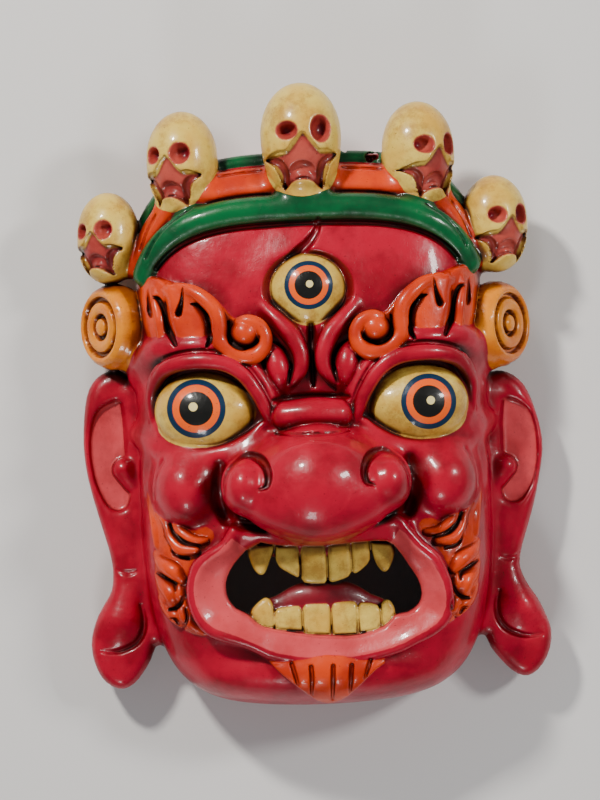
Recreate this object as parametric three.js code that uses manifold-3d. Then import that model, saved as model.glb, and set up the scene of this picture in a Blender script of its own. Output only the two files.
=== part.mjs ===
// A carved wooden dance mask of a wrathful three-eyed face, lying on its back on its flat rim.
// Millimetres. +X is the viewer's right, +Y points to the crown and +Z out of the face. The rim is at z = 0.
// The mask is carved from one block, so it is one solid: a hollow head with everything on it joined to it.
import * as THREE from "three";
import { mergeVertices } from "three/addons/utils/BufferGeometryUtils.js";
import Module from "manifold-3d";

const wasm = await Module();
wasm.setup();

// The head block and its hollow
const HEAD_HALF_WIDTH = 94;
const CROWN_RISE = 139; // from the middle line of the face up to the crown's edge
const JAW_DROP = 155; // from the middle line down to the chin's edge
const MIDDLE_LINE = -10; // where the face is widest
const HEAD_DEPTH = 72; // rim to the plain forehead
const SIDE_HEIGHT = 26; // the straight side wall above the rim
const WALL = 12;
const CROWN_SQUARENESS = 4;
const JAW_SQUARENESS = 4.3;
const FRONT_ROUNDING = 5; // higher is a flatter front with tighter edges

// Headband
const BAND_INNER_RADIUS = 7.4;
const BAND_RIBBON_HALF_WIDTH = 7;
const BAND_RIBBON_RADIUS = 5;
const BAND_OUTER_RADIUS = 5;
const BAND_END_HEIGHT = 54; // how far above y = 0 the band ends beside the brows
const CHIP_WIDTH = 5; // a splinter broken out of the band's outer roll

// Skulls
const MIDDLE_SKULL_HEIGHT = 62.5;
const INNER_SKULL_HEIGHT = 56.5;
const OUTER_SKULL_HEIGHT = 53;
const SKULL_WIDTH_SHARE = 0.68; // of the skull's height
const SKULL_DEPTH_SHARE = 0.66;
const MIDDLE_SKULL_LIFT = 60; // height of its middle above the rim
const INNER_SKULL_LIFT = 50;
const OUTER_SKULL_LIFT = 33;
const MIDDLE_SKULL_OVERTOP = 36.2; // how far it stands above the band
const OUTER_SKULL_SINK = 2.6; // how deep its side sits in the head's edge
const INNER_SKULL_TURN = 26; // degrees outward
const OUTER_SKULL_TURN = 48;

// Eyes, nose, cheeks and mouth
const EYE_HALF_WIDTH = 25.5;
const EYE_HALF_HEIGHT = 21;
const EYE_BULGE = 13; // how far an eyeball stands out of the face
const EYE_SINK = 8; // how deep the middle of the ball lies under the face
const LID_RADIUS = 4;
const THIRD_EYE_HALF_WIDTH = 19.5;
const THIRD_EYE_BULGE = 9;
const THIRD_EYE_SINK = 6;
const FROWN_RADIUS = 4.5;
const BROW_RELIEF = 10; // how far the brows stand off the face
const NOSE_TIP_HEIGHT = 118; // rim to the tip
const NOSE_HALF_WIDTH = 33;
const NOSE_ROOT_RADIUS = 8;
const NOSTRIL_RADIUS = 13;
const CHEEK_RADIUS = 19.5;
const CHEEK_BULGE = 15;
const MOUTH_MIDDLE = 0.63; // down the face, as a share of the head's drop
const MOUTH_WIDTH = 0.56; // half of the opening, as a share of the head's half width
const MOUTH_HEIGHT = 0.143;
const LIP_WIDTH = 0.745;
const LIP_HEIGHT = 0.24;
const LIP_BULGE = 13;
const TOOTH_ROOT_DEPTH = 22; // how deep the teeth reach below the plain face
const LOCK_RADIUS = 7.5; // of the beard

// Ears and ear spools
const EAR_REACH = 124.3; // from the centre line to the ear's outer edge
const LEFT_EAR_TOP = 16;
const RIGHT_EAR_TOP = 8;
const EAR_BOTTOM = -155.5;
const EAR_BACK = 8; // height of the ear's back above the rim
const EAR_THICKNESS = 17;
const EAR_ROUNDING = 4;
const EAR_HOLLOW = 6; // depth of the hollow inside the rim of the ear
const SPOOL_RADIUS = 22.5;
const SPOOL_LENGTH = 22;
const SPOOL_TURN = 55; // degrees outward from straight ahead
const LEFT_SPOOL_UP = 40;
const RIGHT_SPOOL_UP = 33.5;
const SPOOL_SINK = 10.7; // how deep its inner end sits in the head's side
const SPOOL_LIFT = 31; // height of its centre above the rim

const degrees = THREE.MathUtils.degToRad;

// A closed geometry as a manifold solid.
function solid(geometry) {
  geometry.deleteAttribute("normal");
  geometry.deleteAttribute("uv");
  const merged = mergeVertices(geometry, 1e-4);
  const made = new wasm.Manifold(
    new wasm.Mesh({
      numProp: 3,
      vertProperties: merged.attributes.position.array,
      triVerts: new Uint32Array(merged.index.array),
    }),
  );
  if (made.volume() >= 0) return made;
  const flipped = new Uint32Array(merged.index.array);
  for (let i = 0; i < flipped.length; i += 3)
    [flipped[i + 1], flipped[i + 2]] = [flipped[i + 2], flipped[i + 1]];
  return new wasm.Manifold(
    new wasm.Mesh({
      numProp: 3,
      vertProperties: merged.attributes.position.array,
      triVerts: flipped,
    }),
  );
}

const joined = (solids) => solids.reduce((a, b) => a.add(b));
const mirrored = (s) => s.mirror([1, 0, 0]);
const pair = (s) => [s, mirrored(s)];

// How far out (x, y) lies in the head's outline: 0 on the middle line's centre, 1 on the edge.
function spread(x, y, inset = 0) {
  const up = y > MIDDLE_LINE;
  const power = up ? CROWN_SQUARENESS : JAW_SQUARENESS;
  const reach = (up ? CROWN_RISE : JAW_DROP) - inset;
  const across = Math.abs(x) / (HEAD_HALF_WIDTH - inset);
  const along = Math.abs(y - MIDDLE_LINE) / reach;
  return (across ** power + along ** power) ** (1 / power);
}

// Height of the plain front above the rim, at a share of the way out to the edge.
function domeHeight(share, depth) {
  const fall = Math.max(0, 1 - share ** FRONT_ROUNDING) ** 0.5;
  return SIDE_HEIGHT + (depth - SIDE_HEIGHT) * fall;
}

// How far from the centre line the head's edge is, at a height on the face.
function edgeAt(y) {
  const up = y > MIDDLE_LINE;
  const power = up ? CROWN_SQUARENESS : JAW_SQUARENESS;
  const along = Math.abs(y - MIDDLE_LINE) / (up ? CROWN_RISE : JAW_DROP);
  return HEAD_HALF_WIDTH * (1 - along ** power) ** (1 / power);
}

const faceHeight = (x, y) => domeHeight(Math.min(1, spread(x, y)), HEAD_DEPTH);
const onFace = (x, y, lift = 0) =>
  new THREE.Vector3(x, y, faceHeight(x, y) + lift);

// The head block, or its hollow: rings of the head's outline that rise up the side and close in over the front.
function dome(inset, depth, bottom, segments) {
  const levels = [[1, bottom]].concat(
    [1, 0.98, 0.94, 0.86, 0.74, 0.5].map((share) => [share, domeHeight(share, depth)]),
  );
  const rings = levels.map(([share, height]) => {
    const ring = [];
    for (let i = 0; i < segments; i++) {
      const angle = (2 * Math.PI * i) / segments;
      const [c, s] = [Math.cos(angle), Math.sin(angle)];
      const squareness = s > 0 ? CROWN_SQUARENESS : JAW_SQUARENESS;
      const bow = (v) => Math.sign(v) * Math.abs(v) ** (2 / squareness);
      const reach = (s > 0 ? CROWN_RISE : JAW_DROP) - inset;
      const x = bow(c) * (HEAD_HALF_WIDTH - inset) * share;
      ring.push(new THREE.Vector3(x, MIDDLE_LINE + bow(s) * reach * share, height));
    }
    return ring;
  });
  return sweep(rings);
}

function ellipsoid(centre, radii, segments = 20, turn = 0) {
  const geometry = new THREE.SphereGeometry(1, segments, segments * 0.6)
    .scale(...radii)
    .rotateZ(turn)
    .translate(centre.x, centre.y, centre.z);
  return solid(geometry);
}

// A solid skinned over rings of points, each with the same count. It closes on itself, or with flat fans.
function sweep(rings, closed = false) {
  const sides = rings[0].length;
  const total = rings.length * sides;
  const last = total - sides;
  const faces = [];
  for (let i = 0; i < (closed ? total : last); i += sides)
    for (let k = 0; k < sides; k++) {
      const [a, b] = [i + k, i + ((k + 1) % sides)];
      const [c, d] = [(a + sides) % total, (b + sides) % total];
      faces.push(a, b, d, a, d, c);
    }
  for (let k = 1; k < sides - 1 && !closed; k++)
    faces.push(0, k + 1, k, last, last + k, last + k + 1);
  const geometry = new THREE.BufferGeometry().setFromPoints(rings.flat()).setIndex(faces);
  return solid(geometry);
}

// A roll along a curve, with a ridge on top, or below where its height is negative. Its ends are blunt.
function roll(points, halfWidth, halfHeight, { steps = 12, sides = 8, tip = 0.35 } = {}) {
  const curve = new THREE.CatmullRomCurve3(points);
  const rings = [];
  for (let i = 0; i <= steps; i++) {
    const t = i / steps;
    const ahead = curve.getTangent(t);
    const aside = new THREE.Vector3(-ahead.y, ahead.x, 0).normalize();
    const lift = new THREE.Vector3().crossVectors(ahead, aside);
    const end = i === 0 || i === steps ? tip : 1;
    const width = (typeof halfWidth === "function" ? halfWidth(t) : halfWidth) * end;
    const ring = [];
    for (let k = 0; k < sides; k++) {
      const angle = Math.PI / 2 + (2 * Math.PI * k) / sides;
      ring.push(
        curve
          .getPoint(t)
          .addScaledVector(aside, Math.cos(angle) * width)
          .addScaledVector(lift, Math.sin(angle) * halfHeight * end),
      );
    }
    rings.push(ring);
  }
  return sweep(rings);
}

// A flat cut or plate: an outline in the face's plane, between two heights, with rounded edges.
function plate(outline, bottom, top, bevel = 0, divisions = 24) {
  const loop = new THREE.CatmullRomCurve3(outline.map(([x, y]) => new THREE.Vector3(x, y, 0)), true);
  const shape = new THREE.Shape(
    loop.getPoints(divisions).slice(0, -1).map((p) => new THREE.Vector2(p.x, p.y)),
  );
  const geometry = new THREE.ExtrudeGeometry(shape, {
    depth: top - bottom - 2 * bevel,
    bevelEnabled: bevel > 0,
    bevelThickness: bevel,
    bevelSize: bevel,
    bevelOffset: -bevel,
    bevelSegments: 1,
    curveSegments: 1,
  });
  return solid(geometry.translate(0, 0, bottom + bevel));
}

// Places on the face are shares of the head's own half width, and of its rise or drop from y = 0.
const across = (share) => share * HEAD_HALF_WIDTH;
const up = (share) => share * (CROWN_RISE + MIDDLE_LINE);
const down = (share) => -share * (JAW_DROP - MIDDLE_LINE);

// The headband: an inner roll, a ribbon and an outer roll side by side, arched over the forehead.
function headband() {
  const crown = CROWN_RISE + MIDDLE_LINE;
  const breadth = 2 * (BAND_INNER_RADIUS + BAND_RIBBON_HALF_WIDTH + BAND_OUTER_RADIUS);
  const squareness = 3.4;
  const steps = 12;
  const section = [
    [0, -1.1], [0.04, 0.6], [0.2, 1], [0.36, 0.47], [0.385, -0.07], [0.42, 0.54], [0.7, 0.4],
    [0.735, -0.2], [0.78, 0.4], [0.98, 0.14], [0.94, -1.9],
  ];
  const rings = [];
  for (let i = 0; i <= steps; i++) {
    rings.push(
      section.map(([out, lift]) => {
        const side = 1 - (1 - out) * 0.18;
        const top = crown - (1 - out) * breadth;
        const centre = 0.22 * top;
        const first = Math.asin((BAND_END_HEIGHT - centre) / (top - centre));
        const angle = first + ((Math.PI - 2 * first) * i) / steps;
        const bow = (v) => Math.sign(v) * Math.abs(v) ** (2 / squareness);
        const x = HEAD_HALF_WIDTH * side * bow(Math.cos(angle));
        const y = centre + (top - centre) * bow(Math.sin(angle));
        return onFace(x, y, lift * BAND_INNER_RADIUS);
      }),
    );
  }
  return sweep(rings);
}

// An egg-shaped skull with sunken eyes, a nose ridge over an arched mouth, and a round chin. It faces +Z.
function skull(height, centre, turn) {
  const half = height / 2;
  const width = half * SKULL_WIDTH_SHARE;
  const depth = half * SKULL_DEPTH_SHARE;
  const profile = [];
  const steps = 6;
  for (let i = 0; i <= steps; i++) {
    const angle = -Math.PI / 2 + (Math.PI * i) / steps;
    const narrowing = 1 + 0.16 * Math.sin(angle);
    const radius = i === 0 || i === steps ? 0 : Math.cos(angle) * narrowing;
    profile.push(new THREE.Vector2(radius, Math.sin(angle)));
  }
  const egg = solid(new THREE.LatheGeometry(profile, 11).scale(width, half, depth));
  const front = (x, y, sink) => {
    const bulge = Math.sqrt(Math.max(0.05, 1 - x * x - y * y));
    return new THREE.Vector3(x * width, y * half, (bulge - sink) * depth);
  };
  const socket = (x) => ellipsoid(front(x, 0.16, 0.05), [0.28 * width, 0.23 * half, 0.3 * depth], 6);
  const groove = (points, width) =>
    roll(points.map(([x, y]) => front(x, y, -0.05)), width, -0.24 * depth, { steps: 3, sides: 3, tip: 0.6 });
  const hollows = joined([
    socket(-0.44),
    socket(0.44),
    groove([[-0.36, -0.3], [-0.2, -0.06], [0.2, -0.06], [0.36, -0.3]], 0.09 * half),
    groove([[-0.38, -0.74], [-0.26, -0.54], [0.26, -0.54], [0.38, -0.74]], 0.12 * half),
  ]);
  return egg
    .subtract(hollows)
    .rotate([0, turn, 0])
    .translate([centre.x, centre.y, centre.z]);
}

function skulls() {
  const top = CROWN_RISE + MIDDLE_LINE + MIDDLE_SKULL_OVERTOP;
  const middle = new THREE.Vector3(0, top - MIDDLE_SKULL_HEIGHT / 2, MIDDLE_SKULL_LIFT);
  const inner = new THREE.Vector3(across(0.65), up(0.965), INNER_SKULL_LIFT);
  const outerUp = up(0.667);
  const outerHalfWidth = (OUTER_SKULL_HEIGHT / 2) * SKULL_WIDTH_SHARE;
  const outerOut = edgeAt(outerUp) + outerHalfWidth - OUTER_SKULL_SINK;
  const outer = new THREE.Vector3(outerOut, outerUp, OUTER_SKULL_LIFT);
  return joined([
    skull(MIDDLE_SKULL_HEIGHT, middle, 0),
    ...pair(skull(INNER_SKULL_HEIGHT, inner, INNER_SKULL_TURN)),
    ...pair(skull(OUTER_SKULL_HEIGHT, outer, OUTER_SKULL_TURN)),
  ]);
}

// A barrel-shaped spool through the top of the ear, with turned rings on its outer face.
function earSpool(up) {
  const [r, h] = [SPOOL_RADIUS, SPOOL_LENGTH / 2];
  const turn = degrees(SPOOL_TURN);
  const inward = h * Math.sin(turn) + 0.78 * r * Math.cos(turn);
  const profile = [
    [0, -h],
    [0.78 * r, -h],
    [r, -0.2 * h],
    [0.95 * r, 0.65 * h],
    [0.8 * r, h],
    [0.68 * r, 0.7 * h],
    [0.6 * r, 0.95 * h],
    [0.34 * r, 0.95 * h],
    [0.28 * r, 0.7 * h],
    [0, 1.05 * h],
  ].map(([x, y]) => new THREE.Vector2(x, y));
  const geometry = new THREE.LatheGeometry(profile, 12)
    .rotateX(Math.PI / 2)
    .rotateY(turn)
    .translate(edgeAt(up) + inward - SPOOL_SINK, up, SPOOL_LIFT);
  return solid(geometry);
}

// An ear: a long plate with a raised rim, a hollow, a tongue standing in the hollow, and a broad lobe.
function ear(earTop) {
  const root = HEAD_HALF_WIDTH - 0.75 * WALL;
  const span = EAR_REACH - HEAD_HALF_WIDTH;
  const length = earTop - EAR_BOTTOM;
  const at = ([out, along]) => [HEAD_HALF_WIDTH + out * span, earTop - along * length];
  const outline = [
    [0.45, 0], [0.78, 0.06], [0.93, 0.13], [1, 0.24], [0.96, 0.32], [0.84, 0.43], [0.66, 0.53],
    [0.55, 0.61], [0.58, 0.68], [0.75, 0.74], [0.92, 0.8], [1, 0.87], [0.92, 0.94], [0.62, 1],
    [0.3, 0.985], [0.02, 0.94],
  ].map(at);
  const inside = [0.82, 0.05].map((along) => [root, earTop - along * length]);
  const top = EAR_BACK + EAR_THICKNESS;
  const body = plate([...outline, ...inside], EAR_BACK, top, EAR_ROUNDING, 21);
  const hollow = plate(
    [
      [0.2, 0.06], [0.62, 0.08], [0.82, 0.17], [0.84, 0.27],
      [0.7, 0.4], [0.42, 0.47], [0.14, 0.42], [0.04, 0.25],
    ].map(at),
    top - EAR_HOLLOW, top + EAR_HOLLOW, 0, 11,
  );
  const tongue = plate(
    [
      [0.2, 0.1], [0.55, 0.11], [0.68, 0.19], [0.68, 0.28], [0.55, 0.38],
      [0.34, 0.42], [0.24, 0.37], [0.38, 0.28], [0.06, 0.22],
    ].map(at),
    EAR_BACK + EAR_ROUNDING / 2, top - EAR_HOLLOW / 6, EAR_ROUNDING / 2, 11,
  );
  const lobe = ellipsoid(
    new THREE.Vector3(HEAD_HALF_WIDTH + 0.5 * span, earTop - 0.8 * length, top - EAR_ROUNDING / 2),
    [0.32 * span, 0.09 * length, EAR_THICKNESS * 0.3], 6,
  );
  const crease = ([a, b, c]) =>
    roll(
      [a, b, c].map((p) => new THREE.Vector3(...at(p), top)),
      EAR_ROUNDING / 2, -EAR_ROUNDING, { steps: 4, sides: 3, tip: 0.3 },
    );
  const creases = [
    [[0.06, 0.61], [0.24, 0.635], [0.46, 0.61]],
    [[0.12, 0.72], [0.24, 0.83], [0.75, 0.88]],
  ].map(crease);
  return joined([body.subtract(hollow), tongue, lobe]).subtract(joined(creases));
}

// An eyeball under a heavy upper lid and a thin lower one.
function eye() {
  const middle = onFace(across(0.585), down(0.045));
  const [w, h] = [EYE_HALF_WIDTH, EYE_HALF_HEIGHT];
  const ball = ellipsoid(
    middle.clone().setZ(middle.z - EYE_SINK), [w, h, EYE_BULGE + EYE_SINK], 12,
  );
  const lidPath = (shape, lift) =>
    shape.map(([x, y]) => middle.clone().add(new THREE.Vector3(x * w, y * h, lift)));
  const upper = roll(
    lidPath([[1.18, -0.2], [1.1, 0.75], [0.55, 1.12], [-0.2, 1.05], [-0.85, 0.5], [-1.2, -0.35]], LID_RADIUS * 1.25),
    LID_RADIUS, LID_RADIUS * 1.3, { steps: 8, sides: 5 },
  );
  const lower = roll(
    lidPath([[1.05, -0.75], [0.5, -1.12], [-0.3, -1.12], [-1.05, -0.7]], LID_RADIUS * 0.75),
    LID_RADIUS, LID_RADIUS, { steps: 4, sides: 4 },
  );
  return joined([ball, upper, lower]);
}

// The upright third eye in the forehead, in a pointed fold of skin.
function thirdEye() {
  const middle = onFace(0, up(0.42));
  const w = THIRD_EYE_HALF_WIDTH;
  const ball = ellipsoid(
    middle.clone().setZ(middle.z - THIRD_EYE_SINK), [w, w * 0.95, THIRD_EYE_BULGE + THIRD_EYE_SINK], 11,
  );
  const fold = (side) =>
    roll(
      [[0.35, 1.95], [0.15, 1.35], [-0.7, 1.02], [-1.18, 0.1], [-0.95, -0.7], [-0.25, -1.35]].map(
        ([x, y]) => middle.clone().add(new THREE.Vector3(side * x * w, y * w, LID_RADIUS / 4)),
      ),
      (t) => LID_RADIUS * (0.55 + 0.5 * Math.sin(Math.PI * t)), LID_RADIUS * 1.4, { steps: 8, sides: 5 },
    );
  return joined([ball, fold(1), fold(-1)]);
}

// Creased skin between the brows: an upright fold and a leaf-shaped one on each side.
function frown() {
  const r = FROWN_RADIUS;
  const along = (shares, lift) => shares.map(([x, y]) => onFace(across(x), up(y), lift));
  const upright = roll(
    along([[0.13, 0.3], [0.045, 0.18], [0.05, 0.08], [0.1, -0.02]], 0.67 * r),
    r, 1.55 * r, { steps: 4, sides: 5 },
  );
  const leaf = roll(
    along([[0.23, 0.2], [0.17, 0.1], [0.16, -0.02]], 0.9 * r),
    (t) => r * (0.45 + 1.1 * Math.sin(Math.PI * t)), 1.55 * r, { steps: 3, sides: 5 },
  );
  return joined([...pair(upright), ...pair(leaf)]);
}

// A brow: a mass of flame-shaped hair, high at the temple, with slots between its tongues and a scroll by the nose.
function brow() {
  const stations = [
    [0.93, 0.5, 0.34], [0.84, 0.5, 0.22], [0.7, 0.48, 0.2], [0.58, 0.43, 0.2],
    [0.47, 0.36, 0.17], [0.38, 0.33, 0.13], [0.28, 0.32, 0.13], [0.2, 0.27, 0.19],
  ];
  const mass = sweep(
    stations.map(([x, top, bottom]) =>
      [[0, -0.6], [0.1, 0.6], [0.5, 1], [0.9, 0.6], [1, -0.6]].map(([along, lift]) =>
        onFace(across(x), up(bottom + (top - bottom) * along), lift * BROW_RELIEF),
      ),
    ),
  );
  const slots = [
    [[0.9, 0.43], [0.885, 0.34], [0.87, 0.2]],
    [[0.73, 0.45], [0.77, 0.34], [0.75, 0.2]],
    [[0.64, 0.4], [0.54, 0.32], [0.56, 0.2]],
    [[0.47, 0.3], [0.42, 0.19], [0.33, 0.17], [0.28, 0.24]],
  ].map((points) =>
    roll(
      points.map(([x, y]) => onFace(across(x), up(y), BROW_RELIEF)),
      0.26 * BROW_RELIEF, -0.7 * BROW_RELIEF, { steps: points.length, sides: 3, tip: 0.4 },
    ),
  );
  const scroll = ellipsoid(
    onFace(across(0.36), up(0.265), 0.6 * BROW_RELIEF),
    [0.9, 0.9, 0.8].map((share) => share * BROW_RELIEF), 8,
  );
  return mass.subtract(joined(slots)).add(scroll);
}

// The nose: a bar across its root, a broad bulb, and scrolled nostrils with a groove round their tops.
function nose() {
  const [width, wide] = [NOSE_HALF_WIDTH, NOSTRIL_RADIUS];
  const base = HEAD_DEPTH * 0.89;
  const rise = NOSE_TIP_HEIGHT - base;
  const at = (x, y, share) => new THREE.Vector3(across(x), down(y), base + share * rise);
  const bulb = ellipsoid(at(0, 0.305, 0.15), [width, 0.82 * width, 0.85 * rise], 13);
  const ridge = ellipsoid(at(0, 0.17, 0), [0.95 * width, 0.79 * width, 0.62 * rise], 10);
  const root = roll(
    [-0.2, -0.07, 0.07, 0.2].map((x) => onFace(across(x), down(0.07), 0.6 * NOSE_ROOT_RADIUS)),
    NOSE_ROOT_RADIUS, 1.25 * NOSE_ROOT_RADIUS, { steps: 3, sides: 6, tip: 0.6 },
  );
  const wing = ellipsoid(at(0.39, 0.275, 0.26), [wide, 1.12 * wide, 1.77 * wide], 9);
  const groove = roll(
    [[0.29, 0.3], [0.27, 0.22], [0.36, 0.17], [0.48, 0.2]].map(([x, y]) => at(x, y, 0.61)),
    0.18 * wide, -0.7 * wide, { steps: 5, sides: 3 },
  );
  return joined([bulb, ridge, root, ...pair(wing)]).subtract(joined(pair(groove)));
}

function cheek() {
  const middle = onFace(across(0.71), down(0.29), CHEEK_BULGE - CHEEK_RADIUS);
  return ellipsoid(middle, [CHEEK_RADIUS, CHEEK_RADIUS, CHEEK_RADIUS], 11);
}

// A ring round the middle of the mouth, as wide and as high as these shares of the head.
function mouthRing(width, height, count) {
  const ring = [];
  for (let i = 0; i < count; i++) {
    const angle = (2 * Math.PI * (i + 0.5)) / count;
    const bow = (v) => Math.sign(v) * Math.abs(v) ** (2 / 2.4);
    ring.push([across(width * bow(Math.cos(angle))), down(MOUTH_MIDDLE - height * bow(Math.sin(angle)))]);
  }
  return ring;
}

// The lips: a rim that stands off the face all round the mouth and slopes in to the teeth.
function lips() {
  const stations = 22;
  const section = [[0, -0.6], [0.02, 0.6], [0.3, 1], [0.62, 0.55], [1.1, -0.3], [1.1, -0.9]];
  const outer = mouthRing(LIP_WIDTH, LIP_HEIGHT, stations);
  const inner = mouthRing(MOUTH_WIDTH, MOUTH_HEIGHT, stations);
  const rings = outer.map(([x, y], i) => {
    const [dx, dy] = [inner[i][0] - x, inner[i][1] - y];
    return section.map(([inward, lift]) => onFace(x + dx * inward, y + dy * inward, lift * LIP_BULGE));
  });
  return sweep(rings, true);
}

// The open mouth between the lips, cut right through into the hollow.
function mouthOpening() {
  return plate(mouthRing(MOUTH_WIDTH, MOUTH_HEIGHT, 22), WALL, NOSE_TIP_HEIGHT, 0, 22);
}

// A row of teeth carved side by side: each has its middle, its width and its length, as shares of the head.
function toothRow(teeth, root, direction) {
  const rings = [];
  for (const [middle, width, tip] of teeth)
    for (const side of [-1, -0.55, 0.55, 1]) {
      const outer = Math.abs(side) === 1;
      const x = across(middle + side * 0.5 * width);
      const [y0, y1] = [down(root), down(outer ? tip - direction * 0.035 : tip)];
      const front = outer ? -0.27 : 0;
      const corners = [[y0, -1], [y0, front], [y1, front - 0.14], [y1, -0.82]];
      rings.push(corners.map(([y, lift]) => onFace(x, y, lift * TOOTH_ROOT_DEPTH)));
    }
  return sweep(rings);
}

// Both rows of teeth, and the tongue between them, which leaves a gap on each side.
function teeth() {
  const upper = [
    [-0.35, 0.13, 0.58], [-0.2, 0.125, 0.595], [-0.06, 0.125, 0.605],
    [0.08, 0.125, 0.605], [0.22, 0.125, 0.595], [0.365, 0.13, 0.585],
  ];
  const lower = [
    [-0.35, 0.13, 0.645], [-0.2, 0.13, 0.675], [-0.055, 0.13, 0.665],
    [0.09, 0.13, 0.675], [0.235, 0.13, 0.68], [0.375, 0.12, 0.66],
  ];
  const tongue = ellipsoid(
    onFace(0, down(0.65), -0.86 * TOOTH_ROOT_DEPTH),
    [across(0.37), 0.77 * TOOTH_ROOT_DEPTH, 0.45 * TOOTH_ROOT_DEPTH], 8,
  );
  return joined([toothRow(upper, 0.47, 1), toothRow(lower, 0.79, -1), tongue]);
}

// Flame-shaped locks of beard at the jaw, curling down beside the mouth.
function sideLocks() {
  const locks = [
    [[0.92, 0.35], [0.87, 0.43], [0.8, 0.49]],
    [[0.7, 0.43], [0.76, 0.48], [0.85, 0.5]],
    [[0.88, 0.46], [0.86, 0.53], [0.8, 0.58]],
    [[0.8, 0.56], [0.87, 0.6], [0.84, 0.66]],
    [[0.85, 0.63], [0.84, 0.69], [0.77, 0.73]],
    [[0.8, 0.7], [0.74, 0.74], [0.66, 0.75]],
  ];
  return joined(
    locks.map((points) =>
      roll(
        points.map(([x, y]) => onFace(across(x), down(y))),
        (t) => LOCK_RADIUS * (1 - 0.4 * t), 1.2 * LOCK_RADIUS, { steps: 2, sides: 4 },
      ),
    ),
  );
}

// The round of the chin with a fan of short beard locks under the lower lip.
function chin() {
  const middle = down(0.885);
  const round = ellipsoid(
    new THREE.Vector3(0, middle, HEAD_DEPTH * 0.62), [across(0.66), -down(0.124), HEAD_DEPTH * 0.36], 10,
  );
  const locks = [];
  const count = 6;
  for (let i = 0; i < count; i++) {
    const fan = (2 * i) / (count - 1) - 1;
    const length = 0.125 - 0.045 * fan * fan;
    const points = [0, 0.5, 1].map((t) => {
      const fall = 1 - 0.6 * t * t;
      const y = down(0.855 + length * t);
      return new THREE.Vector3(across(fan * (0.22 + 0.04 * t)), y, HEAD_DEPTH * (0.71 + 0.26 * fall));
    });
    locks.push(
      roll(points, (t) => LOCK_RADIUS * (0.73 - 0.21 * t), 0.93 * LOCK_RADIUS, { steps: 2, sides: 4, tip: 0.5 }),
    );
  }
  return joined([round, ...locks]);
}

// Splinters broken out of the headband's outer roll beside the middle skull.
function bandChips() {
  const crown = CROWN_RISE + MIDDLE_LINE;
  const chip = ([x, drop, width]) =>
    new THREE.CylinderGeometry(width / 2, width / 3, 3 * CHIP_WIDTH, 5)
      .rotateX(Math.PI / 2)
      .scale(1, 1.2, 1)
      .translate(x, crown - drop, faceHeight(x, crown - drop));
  const [whole, small] = [CHIP_WIDTH, 0.6 * CHIP_WIDTH];
  const places = [[across(0.28), 0, whole], [across(0.4), 0.8 * whole, 1.2 * whole], [across(-0.45), 0, small]];
  return joined(places.map((place) => solid(chip(place))));
}

function carvedMask() {
  const block = joined([
    dome(0, HEAD_DEPTH, 0, 32),
    headband(),
    skulls(),
    mirrored(earSpool(LEFT_SPOOL_UP)),
    earSpool(RIGHT_SPOOL_UP),
    mirrored(ear(LEFT_EAR_TOP)),
    ear(RIGHT_EAR_TOP),
    ...pair(eye()),
    thirdEye(),
    frown(),
    ...pair(brow()),
    nose(),
    ...pair(cheek()),
    lips(),
    ...pair(sideLocks()),
    chin(),
  ]);
  const ceiling = HEAD_DEPTH - WALL;
  const noseHollow = ellipsoid(
    new THREE.Vector3(0, down(0.28), ceiling),
    [0.55 * NOSE_HALF_WIDTH, 0.67 * NOSE_HALF_WIDTH, NOSE_TIP_HEIGHT - 2 * WALL - ceiling], 10,
  );
  const hollow = dome(WALL, ceiling, -WALL, 20).add(noseHollow);
  return block.subtract(mouthOpening()).subtract(bandChips()).add(teeth()).subtract(hollow);
}

function meshOf(name, made, material) {
  const { vertProperties, triVerts } = made.getMesh();
  const geometry = new THREE.BufferGeometry()
    .setAttribute("position", new THREE.BufferAttribute(new Float32Array(vertProperties), 3))
    .setIndex(new THREE.BufferAttribute(new Uint32Array(triVerts), 1));
  geometry.computeVertexNormals();
  const mesh = new THREE.Mesh(geometry, material);
  mesh.name = name;
  return mesh;
}

const lacqueredRed = new THREE.MeshStandardMaterial({ color: 0xb3192e, roughness: 0.3, metalness: 0 });

const mask = new THREE.Group();
mask.add(meshOf("carved_mask", carvedMask(), lacqueredRed));

export default mask;
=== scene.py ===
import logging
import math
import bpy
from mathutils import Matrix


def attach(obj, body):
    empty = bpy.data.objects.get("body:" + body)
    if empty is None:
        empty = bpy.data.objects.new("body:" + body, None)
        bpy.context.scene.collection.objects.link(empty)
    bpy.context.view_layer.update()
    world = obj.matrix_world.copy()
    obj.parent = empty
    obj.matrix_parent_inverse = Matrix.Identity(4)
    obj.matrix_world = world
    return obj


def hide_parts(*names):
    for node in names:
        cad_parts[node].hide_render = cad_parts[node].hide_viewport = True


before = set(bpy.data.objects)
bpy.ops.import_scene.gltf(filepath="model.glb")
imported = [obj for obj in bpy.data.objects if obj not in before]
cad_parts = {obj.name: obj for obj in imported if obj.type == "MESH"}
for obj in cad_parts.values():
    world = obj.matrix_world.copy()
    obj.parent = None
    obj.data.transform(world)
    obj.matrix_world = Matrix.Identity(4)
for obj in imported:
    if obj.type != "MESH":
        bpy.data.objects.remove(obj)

# Looks for a carved and painted wooden dance mask of a wrathful three-eyed face.
# The mask lies on its back rim. Its whole relief is carved here as one closed surface that keeps
# the form of the solid, then painted by fields that say how far each point is from the edge of
# each paint. Lengths are in millimetres until the finished surface is scaled to metres.

from concurrent.futures import ThreadPoolExecutor
from dataclasses import dataclass, field
from enum import Enum
from typing import Callable, Iterable, Sequence

import bpy
import numpy as np
from mathutils import Matrix, Vector

log = logging.getLogger("mask")
Array = np.ndarray
Colour = tuple[float, float, float]
MM = 0.001
NODE = "carved_mask"
TINY = 1e-6
FINE_PITCH = 0.8


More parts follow.
